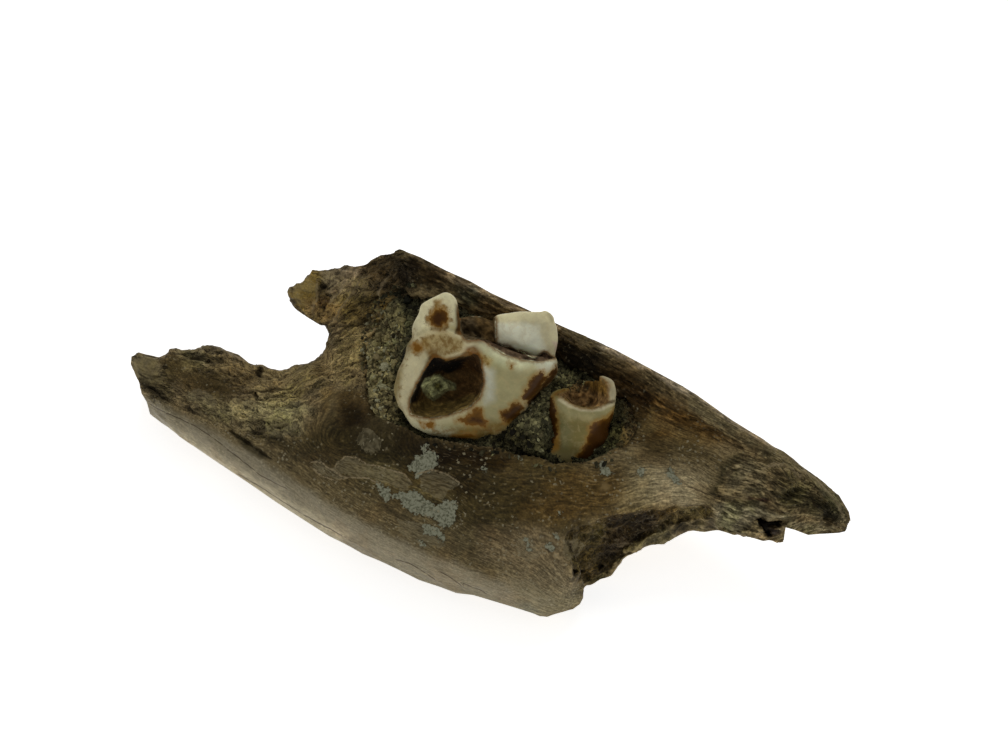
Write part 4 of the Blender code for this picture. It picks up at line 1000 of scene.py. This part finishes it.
MOLAR_COATS = (
    # Painted shade: the near face, turned away from the light above, is darker.
    ((172, 164, 118), 10, ((482, 350), (520, 368), (556, 362), (545, 385), (500, 432), (460, 441), (420, 430),
                           (470, 410), (484, 390))),
    # A painted highlight down the middle of the near face.
    ((206, 206, 182), 6, ((482, 362), (494, 372), (494, 400), (484, 404), (486, 388))),
    ((178, 174, 140), 6, ((400, 418), (430, 424), (470, 436), (500, 434), (478, 441), (430, 436))),
    # The crown's foot: its own olive, darkened as painted shade.
    ((132, 112, 60), 5, ((458, 428), (500, 420), (520, 416), (505, 434), (478, 443), (450, 438))),
    ((224, 220, 190), 5, ((536, 363), (554, 360), (556, 368), (540, 372))),
    # The horn whiter: its own cream, and painted light from above.
    ((246, 238, 192), 5, ((420, 330), (412, 320), (424, 300), (436, 292), (452, 292), (458, 304), (457, 330),
                          (446, 332), (430, 330))),
    ((164, 134, 74), 3, ((421, 338), (430, 336), (434, 344), (428, 351), (420, 346))),
    ((168, 140, 80), 3, ((438, 341), (456, 338), (462, 344), (458, 350), (444, 350))),
    ((188, 168, 116), 5, ((426, 334), (446, 332), (464, 341), (462, 352), (446, 356), (430, 350))),
    ((126, 82, 30), 3, ((463, 354), (467, 347), (474, 346), (480, 351), (484, 360), (479, 358), (472, 356))),
    ((186, 152, 84), 4, ((480, 353), (492, 360), (489, 367), (482, 363))),
    ((156, 118, 58), 6, ((428, 322), (430, 311), (438, 305), (447, 308), (449, 320), (444, 329), (433, 329))),
    ((180, 146, 86), 3, ((433, 300), (442, 300), (440, 305), (435, 308))),
    ((132, 100, 50), 3, ((426, 352), (431, 348), (436, 350), (440, 356), (434, 359), (429, 360))),
    ((112, 88, 54), 2, ((456, 304), (460, 306), (461, 334), (457, 332))),
    ((150, 112, 56), 4, ((412, 342), (420, 342), (424, 349), (419, 355), (412, 351))),
    # The left flank darker toward its edge: tan mottling, and painted shade.
    ((132, 116, 68), 5, ((392, 376), (396, 358), (404, 344), (411, 334), (413, 346), (404, 362), (400, 382),
                         (398, 402), (406, 418), (398, 418), (392, 400))),
    # The blade whiter: its own cream, and painted light.
    ((248, 247, 218), 4, ((496, 322), (520, 322), (538, 326), (546, 350), (536, 356), (496, 346))),
    ((244, 234, 186), 3, ((496, 314), (552, 308), (556, 322), (520, 321), (497, 322))),
    # Painted shade in a small crease at the blade's right corner.
    ((196, 186, 144), 2, ((546, 313), (553, 311), (555, 322), (551, 322))),
    ((212, 190, 166), 2, ((553, 342), (559, 342), (559, 352), (556, 352))),
    ((88, 68, 36), 1, BASIN),
    ((92, 68, 36), 4, ((452, 360), (478, 356), (482, 382), (476, 400), (458, 402), (456, 380))),
    # Painted shadow in the upper part of the basin.
    ((20, 14, 4), 3, ((430, 357), (446, 361), (468, 357), (462, 366), (450, 374), (436, 372), (424, 382), (419, 398),
                       (411, 408), (410, 400), (417, 384))),
    # Painted light in the lower part of the basin.
    ((134, 112, 62), 3, ((412, 404), (424, 400), (440, 403), (458, 400), (472, 394), (479, 396), (468, 407), (450, 414),
                        (432, 417), (414, 415))),
    ((150, 148, 112), 1, MATRIX_LUMP),
    ((70, 66, 36), 2, ((435, 383), (440, 382), (443, 387), (439, 391), (434, 389))),
    ((92, 72, 40), 1, CORE),
    ((92, 78, 54), 4, ((460, 318), (474, 318), (478, 330), (486, 342), (466, 340), (460, 332))),
    ((98, 76, 56), 1, GAP),
)
# Factors on the enamel's colour: painted light over the gap under the blade, painted shadow in the basin's upper part,
# and the matrix lump's own lighter tone.
MOLAR_TONE_LIGHT_AND_SHADE = (
    ((1.25, 1.38, 1.45), 5, ((482, 346), (536, 346), (552, 364), (520, 370), (484, 364))),
    ((0.38, 0.30, 0.16), 4, ((426, 362), (434, 355), (453, 358), (476, 353), (483, 362), (480, 376), (464, 370),
                             (444, 373), (430, 376))),
    ((1.30, 1.35, 1.15), 3, MATRIX_LUMP),
)
SMALL_STAINS = (
    (1.0, ((546, 395), (553, 397), (555, 408), (557, 420), (557, 432), (555, 441), (551, 450), (544, 456), (544, 430))),
    (0.8, ((573, 466), (577, 456), (585, 446), (588, 436), (591, 426), (594, 422), (600, 421), (607, 418), (618, 407),
           (622, 425), (606, 452), (588, 468))),
)
SMALL_CORE = ((557, 394), (566, 391), (576, 388), (580, 383), (587, 380), (599, 378), (604, 381), (608, 386),
              (607, 394), (608, 401), (601, 406), (592, 408), (580, 407), (571, 403), (564, 398))
LOBE_STEP = ((606, 402), (611, 401), (616, 401))
SMALL_BASE = (130, 118, 64)
SMALL_COATS = (
    ((132, 126, 80), 5, ((556, 412), (566, 418), (572, 432), (568, 450), (550, 450), (556, 440))),
    ((160, 152, 106), 5, ((551, 396), (571, 407), (592, 410), (612, 403), (614, 412), (590, 420), (570, 418),
                          (554, 406))),
    ((214, 204, 164), 1.5, ((560, 397), (571, 404), (580, 408), (592, 409), (602, 406), (612, 402), (615, 404),
                            (604, 410), (592, 412), (578, 411), (568, 407), (558, 400))),
    ((176, 166, 132), 3, ((598, 375), (606, 373), (616, 380), (618, 404), (608, 403), (607, 384))),
    # A painted shadow line at the right lobe's step.
    ((116, 104, 76), 1, ((607, 402), (613, 399), (616, 401), (612, 404))),
    ((176, 130, 50), 3, ((556, 424), (557, 430), (560, 440), (560, 448), (555, 454), (549, 456), (551, 440))),
    ((148, 136, 88), 4, ((550, 452), (576, 452), (570, 466), (550, 464))),
    ((122, 94, 56), 1, SMALL_CORE),
    ((112, 84, 36), 3, ((576, 389), (582, 382), (600, 378), (606, 384), (608, 396), (600, 394), (588, 388))),
    ((62, 44, 20), 2, ((580, 386), (588, 384), (592, 389), (584, 392), (578, 391))),
)


def stain_masks(tooth, stains):
    """How far each point lies inside the nearest stain, as 0.5 on its edge, and how dark that stain is."""
    distances = np.stack([outline_distance(tooth.pixels, outline) for tone, outline in stains])
    tones = np.array([tone for tone, outline in stains])[distances.argmin(axis=0)]
    behind = 10 * (noise_at(tooth.points, 0.4, 4, 9.0) - 0.25)
    inside = np.where(tooth.front > 0.3, -distances.min(axis=0), behind)
    return 0.5 + inside / LINE_SPAN, np.where(tooth.front > 0.3, tones, 0.5)


# %% The molar
MOLAR_MOTTLES = (
    (0.52, ((420, 337), (430, 334), (448, 334), (462, 341), (464, 352), (454, 354), (442, 357), (432, 350), (421, 352))),
    (0.5, ((431, 300), (443, 299), (442, 306), (434, 309))),
    (0.55, ((423, 326), (424, 316), (432, 305), (444, 303), (452, 310), (453, 322), (446, 331), (429, 331))),
    (0.5, ((410, 339), (420, 339), (428, 349), (418, 358), (410, 353))),
    (0.55, ((480, 352), (493, 360), (489, 368), (481, 363))),
    (0.42, ((396, 368), (402, 350), (412, 330), (416, 318), (420, 330), (410, 360), (402, 400), (408, 424), (394, 404))),
    (0.5, ((412, 418), (440, 424), (470, 430), (508, 420), (500, 434), (470, 441), (430, 436))),
)


def mottle_mask(tooth):
    """How much of the surface the tan mottles cover."""
    pixels = tooth.pixels
    seen = most(cover * fade(outline_distance(pixels, outline), 5, -3) for cover, outline in MOLAR_MOTTLES)
    return seen * tooth.front + 0.4 * (1 - tooth.front)


def sculpt_molar():
    molar = Blank("molar_fossil", "molar", 0.1, 4)
    lower_right = fade(line_distance(molar.pixels, ((548, 372), (524, 402), (498, 430))), 14, 3)
    corner = fade(spot_distance(molar.pixels, (550, 314, 5)), 5, 0)
    lower_left = fade(line_distance(molar.pixels, ((408, 420), (440, 432), (480, 438))), 10, 2)
    molar.push(0.12 + (0.5 * lower_right + 0.15 * corner + 0.1 * lower_left))
    molar.pull(MOLAR_PULLS)
    points = molar.points
    pixels = molar.pixels
    front = molar.front
    ragged = noise_at(points, 1.1, 3, 4.0) * 2
    facing = fade(molar.normals @ np.array(BACK), -0.7, -0.4)
    basin_distance = outline_distance(pixels, BASIN)
    gap_distance = outline_distance(pixels, GAP)
    core_distance = np.minimum(outline_distance(pixels, CORE), gap_distance)
    basin = fade(basin_distance + ragged, 1.5, -1.5) * front
    core = fade(core_distance + ragged * 0.5, 1, -1)
    gap = fade(gap_distance, 1, -1.5)
    lump = fade(outline_distance(pixels, MATRIX_LUMP) + ragged * 1.3, 1, -4) * front
    rough = noise_at(points, 2.0, 4, 6.0)
    crease = fade(line_distance(pixels, CREASE), 4, 0.5) * front
    crest = fade(line_distance(pixels, RIDGE_CREST), 5, 1) * front
    # The coats and factors hold the enamel's colours, with painted shade on the near face and in the basin and painted
    # light on the horn, the blade and the gap.
    molar.tint = painted(pixels, MOLAR_BASE, MOLAR_COATS, ragged * 0.5, facing)
    molar.tint = toned_and_shaded(molar.tint, pixels, MOLAR_TONE_LIGHT_AND_SHADE, ragged * 0.5, facing)
    stain, stain_tone = stain_masks(molar, MOLAR_STAINS)
    molar.masks = {
        "stain": stain,
        "stain_tone": stain_tone,
        "mottle": mottle_mask(molar),
        "dentine": 0.5 - np.where(facing > 0.5, np.minimum(basin_distance, core_distance), 8) / LINE_SPAN,
        "matrix": lump,
        "relief": 0.5 + rough * 0.5,
    }
    molar.push((1 - basin) * (1 - core) * (0.02 * noise_at(points, 0.8, 2) + 0.1 * crest - 0.16 * crease))
    deep = 0.35 * fade(basin_distance, 0, -10) * basin * (1 - lump) - lump * (0.35 + 0.35 * rough)
    molar.sink(deep + 0.12 * rough * basin + (0.3 * gap + core * (0.1 - 0.25 * rough)) * facing)
    return molar


def enamel_look(name):
    look = Look(name, 0.35, 0.11, 0.01)
    clouds = look.grain(0.5, (1, 1, 1), 4)
    fine = look.grain(2.2, (1, 1, 1), 5, 0.65)
    grit = look.grain(6.0, (1, 1, 1), 3)
    crackle = look.grain(1.2, (1, 1, 1), 4, 0.65, 1.0)
    whole = look.shaded(look.tint(), look.contrast(clouds, 2.4))
    whole = look.shaded(whole, look.contrast(grit, 1.25))
    whole = look.mixed(look.spread(crackle, 0.45, 0.65, 0.0, 0.25), whole, colour(206, 186, 132))
    cover = look.maths("ADD", fine, look.mask("mottle"))
    mottle = look.maths("MULTIPLY", look.spread(cover, 0.88, 1.16), 0.8)
    whole = look.mixed(mottle, whole, colour(124, 92, 38))
    hairline = look.maths("MULTIPLY", look.thread(crackle, 0.008), look.maths("MULTIPLY", look.mask("mottle"), 1.6))
    whole = look.mixed(hairline, whole, colour(130, 96, 50))
    inside = look.maths("ADD", look.mask("stain"), look.spread(fine, 0.25, 0.75, -0.13, 0.13))
    halo = look.maths("MULTIPLY", look.spread(inside, 0.2, 0.5), 0.6)
    whole = look.mixed(halo, whole, colour(166, 122, 52))
    darker = look.maths("MULTIPLY", look.maths("SUBTRACT", look.mask("stain_tone"), 0.5), 0.6)
    depth = look.maths("ADD", inside, darker)
    stain = look.mixed(look.spread(depth, 0.48, 1.0), colour(128, 85, 20), colour(60, 31, 4))
    whole = look.mixed(look.spread(inside, 0.44, 0.56, 0.0, 0.95), whole, stain)
    edge = look.maths("ADD", look.mask("dentine"), look.spread(fine, 0.25, 0.75, -0.06, 0.06))
    rim = look.spread(edge, 0.24, 0.5, 0.0, 0.8)
    whole = look.mixed(rim, whole, colour(128, 84, 30))
    fibre = look.grain(3.0, (0.6, 2.0, 0.8), 3)
    dentine = look.shaded(look.tint(), look.contrast(fibre, 5.0))
    dentine = look.shaded(dentine, look.contrast(look.mask("relief"), 5.0))
    dentine = look.mixed(look.spread(fibre, 0.6, 0.7, 0.0, 0.15), dentine, colour(150, 122, 84))
    open_tooth = look.spread(edge, 0.49, 0.52)
    whole = look.mixed(open_tooth, whole, dentine)
    crumbs = look.grain(3.0, (1, 1, 1), 4, 0.7)
    matrix = look.shaded(look.shaded(look.tint(), look.contrast(crumbs, 60.0)), look.contrast(look.mask("relief"), 5.0))
    whole = look.mixed(look.mask("matrix"), whole, matrix)
    dull = look.maths("MAXIMUM", open_tooth, look.mask("matrix"))
    roughness = look.spread(dull, 0.0, 1.0, 0.35, 0.85)
    height = look.maths("MULTIPLY", look.maths("ADD", grit, fine), look.spread(dull, 0.0, 1.0, 0.12, 1.3))
    return look.finish(whole, height, 0.06, roughness)


molar = sculpt_molar()
molar.finish(enamel_look("molar_enamel"), "molar_enamel", 120000)


# %% The small tooth


SMALL_PULLS = ((552, 438, 9, -3, 0), (557, 455, 9, -7, 3), (567, 461, 9, 0, 4), (582, 452, 9, 6, 4),
               (600, 438, 9, 3, 2), (564, 397, 6, -2, -5), (576, 392, 8, -3, -9), (590, 388, 9, 0, -10))


def sculpt_small_tooth():
    tooth = Blank("small_tooth_fossil", "small_tooth", 0.09, 4)
    lower_left = fade(line_distance(tooth.pixels, ((549, 415), (548, 445), (556, 460))), 12, 2)
    lower_right = fade(line_distance(tooth.pixels, ((606, 436), (592, 452), (578, 460))), 10, 2)
    tooth.push(0.1 + 0.2 * lower_left + 0.2 * lower_right)
    tooth.pull(SMALL_PULLS)
    points = tooth.points
    pixels = tooth.pixels
    ragged = noise_at(points, 1.1, 3, 4.0) * 2
    core_distance = outline_distance(pixels, SMALL_CORE)
    core = fade(core_distance + ragged, 2, -2) * tooth.front
    rough = noise_at(points, 1.8, 4, 6.0)
    step = fade(line_distance(pixels, LOBE_STEP), 2.5, 0.5) * tooth.front
    facing = fade(tooth.normals @ np.array(BACK), -0.7, -0.4)
    tooth.tint = painted(pixels, SMALL_BASE, SMALL_COATS, ragged * 0.5, facing)
    stain, stain_tone = stain_masks(tooth, SMALL_STAINS)
    tooth.masks = {
        "stain": stain,
        "stain_tone": stain_tone,
        "mottle": 0.25 + 0.2 * (1 - tooth.front),
        "dentine": 0.5 - np.where(facing > 0.5, core_distance, 8) / LINE_SPAN,
        "matrix": 0.7 * core,
        "relief": 0.5 + rough * 0.6,
    }
    tooth.sink(0.1 * step - core * (0.3 * rough + 0.15))
    return tooth


small_tooth = sculpt_small_tooth()
small_tooth.finish(enamel_look("small_tooth_enamel"), "small_tooth_enamel", 60000)

# %% [markdown]
# The sediment is fine sand and grit set hard. Its surface is rough at every scale, and sand grains stand out of
# it. It is painted darkest behind the molar; in the hollow below the far rim, right of the small tooth and along
# the bone's edge its darkness is painted shade. Beside the molar and between the teeth it is pale. The grains
# are small angular stones in many sizes, joined in one mesh, and each has its own tone, painted shade included.

# %% Marks on the sediment
SEDIMENT_BASE = (66, 64, 44)
SEDIMENT_COATS = (
    ((20, 20, 12), 8, ((396, 292), (470, 282), (520, 306), (500, 318), (470, 316), (456, 290), (430, 294),
                       (404, 318))),
    # Painted shadow in the hollow below the far rim.
    ((26, 24, 15), 8, ((556, 345), (620, 372), (620, 392), (600, 372), (572, 374), (560, 366))),
    ((124, 114, 78), 6, ((354, 330), (370, 304), (400, 304), (404, 340), (392, 370), (392, 402), (400, 420),
                         (378, 432), (356, 396))),
    ((100, 96, 66), 6, ((546, 384), (554, 394), (548, 420), (538, 440), (524, 446), (512, 438), (520, 412))),
    ((72, 68, 44), 4, ((512, 436), (530, 430), (548, 436), (548, 452), (524, 450))),
    ((122, 118, 80), 5, ((550, 372), (574, 374), (570, 390), (552, 392))),
    # Painted shade along the gap between the teeth and the bone's edge.
    ((37, 34, 20), 5, ((396, 424), (430, 436), (490, 444), (512, 440), (540, 456), (600, 466), (570, 470),
                       (500, 456), (430, 446))),
    # Painted shade right of the small tooth.
    ((56, 53, 32), 6, ((612, 402), (626, 410), (622, 440), (606, 452), (604, 440))),
    ((86, 70, 42), 3, ((624, 398), (638, 408), (638, 436), (618, 456), (608, 460), (620, 442), (627, 420))),
    ((104, 80, 46), 2, ((556, 394), (566, 390), (576, 386), (584, 382), (588, 392), (572, 398))),
)
# Factors on the sediment's colour: the first three are painted shade right of the small tooth and in the gaps under the
# molar; the last three lighten pale pebbly ground.
SEDIMENT_TONE_AND_SHADE = (
    ((0.36, 0.33, 0.27), 6, ((610, 370), (630, 376), (642, 400), (634, 426), (618, 428), (612, 404))),
    ((0.38, 0.38, 0.33), 5, ((398, 408), (412, 420), (430, 428), (460, 440), (450, 448), (420, 440), (398, 428))),
    ((0.50, 0.45, 0.36), 6, ((488, 428), (514, 424), (526, 440), (506, 454), (486, 448))),
    ((1.75, 1.80, 1.75), 6, ((372, 346), (392, 338), (396, 388), (376, 392))),
    ((1.60, 1.65, 1.55), 6, ((396, 308), (414, 306), (412, 336), (396, 336))),
    ((2.00, 2.05, 1.70), 5, ((602, 430), (622, 426), (626, 444), (606, 454))),
)
BETWEEN_TEETH = ((546, 386), (552, 396), (547, 440), (528, 448), (512, 436), (524, 410))
SMALL_FOOT = ((546, 440), (556, 432), (600, 432), (612, 420), (620, 430), (604, 456), (570, 470), (548, 464))
GRAIN_SEED = 7
GRAIN_COUNT = 7000
GRAIN_SMALL = 0.06
GRAIN_LARGE = 0.34
LARGE_GRAINS = ((402, 320, 0.6), (390, 405, 0.6), (384, 368, 0.4), (396, 342, 0.4), (383, 388, 0.45),
                (407, 300, 0.4), (468, 307, 0.35), (392, 376, 0.4), (544, 387, 0.4), (430, 290, 0.35),
                (617, 436, 0.35), (388, 350, 0.35), (400, 296, 0.35))
GRAIN_ZONES = (
    ((362, 330), (376, 300), (398, 284), (420, 284), (400, 330), (396, 420), (382, 428), (368, 404), (362, 366)),
    ((398, 422), (440, 436), (520, 448), (556, 462), (600, 458), (624, 440), (632, 412), (626, 400), (640, 420),
     (630, 448), (600, 468), (556, 472), (516, 458), (440, 448), (398, 432)),
)

# %% The sediment


def sculpt_sediment():
    sediment = Blank("sediment_crust", "sediment", 0.16, 1)
    outwards = np.hypot(sediment.normals[:, 0], sediment.normals[:, 1])
    sediment.push(0.5 * fade(outwards, 0.3, 0.9))
    points = sediment.points
    ragged = noise_at(points, 0.7, 4, 5.0) * 5
    top = fade(sediment.normals[:, 2], 0.0, 0.4)
    between = fade(outline_distance(sediment.pixels, BETWEEN_TEETH), 5, -5)
    rough = noise_at(points, 1.5, 4) + ridges_at(points, 1.8, 3, 2.0)
    foot = fade(outline_distance(sediment.pixels, SMALL_FOOT), 4, -3)
    height = top * (0.05 + 0.22 * noise_at(points, 0.8, 4) + 0.5 * between - 0.35 * foot + 0.17 * rough)
    # The coats and factors hold the sediment's tones, painted shade included.
    sediment.tint = painted(sediment.pixels, SEDIMENT_BASE, SEDIMENT_COATS, ragged, 1)
    sediment.tint = toned_and_shaded(sediment.tint, sediment.pixels, SEDIMENT_TONE_AND_SHADE, ragged, 1)
    # The low places of the sediment's surface are painted near black: painted shade.
    sediment.masks = {"hollow_shade": fade(0.22 * noise_at(points, 0.8, 4) + 0.12 * rough, 0.0, -0.25)}
    sediment.push(height)
    return sediment


def sediment_look():
    look = Look("hardened_sediment", 0.9, 0.05)
    grit = look.grain(2.6, (1, 1, 1), 4, 0.7)
    mat = look.grain(2.2, (1, 1, 1), 3, 0.65, 1.5)
    base = look.shaded(look.tint(), look.contrast(grit, 50.0))
    base = look.shaded(base, look.spread(look.chances(4.5, 0.2), 0.0, 1.0, 0.2, 2.1))
    base = look.mixed(look.maths("MULTIPLY", look.thread(mat, 0.05), 0.4), base, colour(140, 134, 98))
    # Painted shade in the low places.
    base = look.mixed(look.mask("hollow_shade"), base, colour(12, 10, 6))
    return look.finish(base, grit, 0.15)


def grain_look():
    look = Look("sediment_grains", 0.7, 0.12)
    grit = look.grain(6.0, (1, 1, 1), 2)
    return look.finish(look.shaded(look.tint(), look.contrast(grit, 8.0)), grit, 0.04)


sediment = sculpt_sediment()
print("sediment sculpted,", len(sediment.points), "points")

# %% The grains


def stone_shape(subdivisions):
    """The points and faces of a round stone of radius 1."""
    bm = bmesh.new()
    bmesh.ops.create_icosphere(bm, subdivisions=subdivisions, radius=1)
    bm.verts.index_update()
    points = np.array([vert.co for vert in bm.verts])
    faces = np.array([[vert.index for vert in face.verts] for face in bm.faces])
    bm.free()
    return points, faces


def grain_places():
    """Points where grains may lie: on the sediment's top, and on the bone just around it."""
    on_top = sediment.normals[:, 2] > 0.1
    places = sediment.points[on_top]
    tree = KDTree(len(places))
    for index, (x, y, z) in enumerate(places):
        tree.insert((x, y, 0), index)
    tree.balance()
    near = most(fade(outline_distance(bone_pixels, zone), 1, 0) for zone in GRAIN_ZONES) > 0.5
    beyond = [place for place in bone_points[near] if tree.find((place[0], place[1], 0))[2] > 0.3]
    return np.concatenate([places, np.array(beyond)])


def lay_grains():
    """Angular grains, joined in one mesh, each with its own tone."""
    random = np.random.default_rng(GRAIN_SEED)
    places = grain_places()
    pixels = seen_at(places)
    # Each grain takes the sediment's colour where it lies, painted shade included.
    tones = painted(pixels, SEDIMENT_BASE, SEDIMENT_COATS, 0, 1)
    tones = toned_and_shaded(tones, pixels, SEDIMENT_TONE_AND_SHADE, 0, 1)
    sizes = GRAIN_SMALL + (GRAIN_LARGE - GRAIN_SMALL) * random.uniform(0, 1, GRAIN_COUNT) ** 3
    grains = list(zip(random.choice(len(places), GRAIN_COUNT, replace=False), sizes))
    for x, y, size in LARGE_GRAINS:
        grains.append((int(np.argmin(np.hypot(pixels[:, 0] - x, pixels[:, 1] - y))), size))
    small, large = stone_shape(1), stone_shape(2)
    all_points, all_faces, all_tints = [], [], []
    count = 0
    for index, size in grains:
        points, faces = large if size > 0.34 else small
        turned = np.array(Matrix.Rotation(random.uniform(0, math.pi), 3, Vector(random.normal(size=3))))
        bumps = random.uniform(0.6, 1.3, (len(points), 1))
        all_points.append((points * bumps * random.uniform(0.4, 1.2, 3) * size) @ turned + places[index])
        all_faces.append(faces + count)
        count += len(points)
        share = max(random.lognormal(-0.1, 0.8), 1.5 if size > 0.34 else 0)
        tone = tones[index] * share * np.array((1, random.uniform(0.94, 1.04), 1))
        tone = np.minimum(tone, colour(160, 156, 124))
        all_tints.append(np.tile(np.append(tone, 1), (len(points), 1)))
    mesh = bpy.data.meshes.new("sediment_grains")
    mesh.from_pydata(np.concatenate(all_points) * MM, [], np.concatenate(all_faces).tolist())
    attribute = mesh.attributes.new("tint", "FLOAT_COLOR", "POINT")
    attribute.data.foreach_set("color", np.concatenate(all_tints).astype(np.float32).ravel())
    piece = bpy.data.objects.new("sediment_grains", mesh)
    bpy.context.scene.collection.objects.link(piece)
    mesh.materials.append(grain_look())
    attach(piece, "root")
    print("sediment_grains", len(grains), "grains,", len(mesh.polygons), "triangles")


bone_points = bone.points[bone.front > 0.5]
bone_pixels = seen_at(bone_points)
lay_grains()
sediment.finish(sediment_look(), "hardened_sediment", 120000)

# %% [markdown]
# The stage is a plain pale floor under soft light: a soft sky, and one large lamp above and behind, which draws
# the rim and the enamel without hard shadows. The floor glows a little, so that it stays white while the
# dark bone is lit as softly as in the photograph.

# %% Floor, lights and view
FLOOR_SIZE = 3.0
FLOOR_GLOW = 0.78
SKY_STRENGTH = 0.3
LAMP_PLACE = Vector((-0.05, 0.2, 0.3))
LAMP_SIZE = 0.25
LAMP_POWER = 0.35


def make_stage():
    bm = bmesh.new()
    bmesh.ops.create_grid(bm, x_segments=1, y_segments=1, size=FLOOR_SIZE / 2)
    mesh = bpy.data.meshes.new("floor")
    bm.to_mesh(mesh)
    bm.free()
    floor = bpy.data.objects.new("floor", mesh)
    bpy.context.scene.collection.objects.link(floor)
    look = bpy.data.materials.new("pale_floor")
    look.use_nodes = True
    shader = look.node_tree.nodes["Principled BSDF"]
    shader.inputs["Base Color"].default_value = (0.9, 0.9, 0.9, 1)
    shader.inputs["Roughness"].default_value = 0.9
    shader.inputs["Emission Color"].default_value = (1, 1, 1, 1)
    shader.inputs["Emission Strength"].default_value = FLOOR_GLOW
    mesh.materials.append(look)
    world = bpy.data.worlds.new("soft_sky")
    world.use_nodes = True
    world.node_tree.nodes["Background"].inputs["Color"].default_value = (1, 1, 1, 1)
    world.node_tree.nodes["Background"].inputs["Strength"].default_value = SKY_STRENGTH
    bpy.context.scene.world = world
    lamp = bpy.data.objects.new("soft_lamp", bpy.data.lights.new("soft_lamp", "AREA"))
    lamp.data.shape = "DISK"
    lamp.data.size = LAMP_SIZE
    lamp.data.energy = LAMP_POWER
    lamp.location = LAMP_PLACE
    lamp.rotation_mode = "QUATERNION"
    lamp.rotation_quaternion = (LOOK_AT * MM - LAMP_PLACE).to_track_quat("-Z", "Y")
    bpy.context.scene.collection.objects.link(lamp)
    bpy.context.scene.view_settings.view_transform = "Standard"


make_stage()
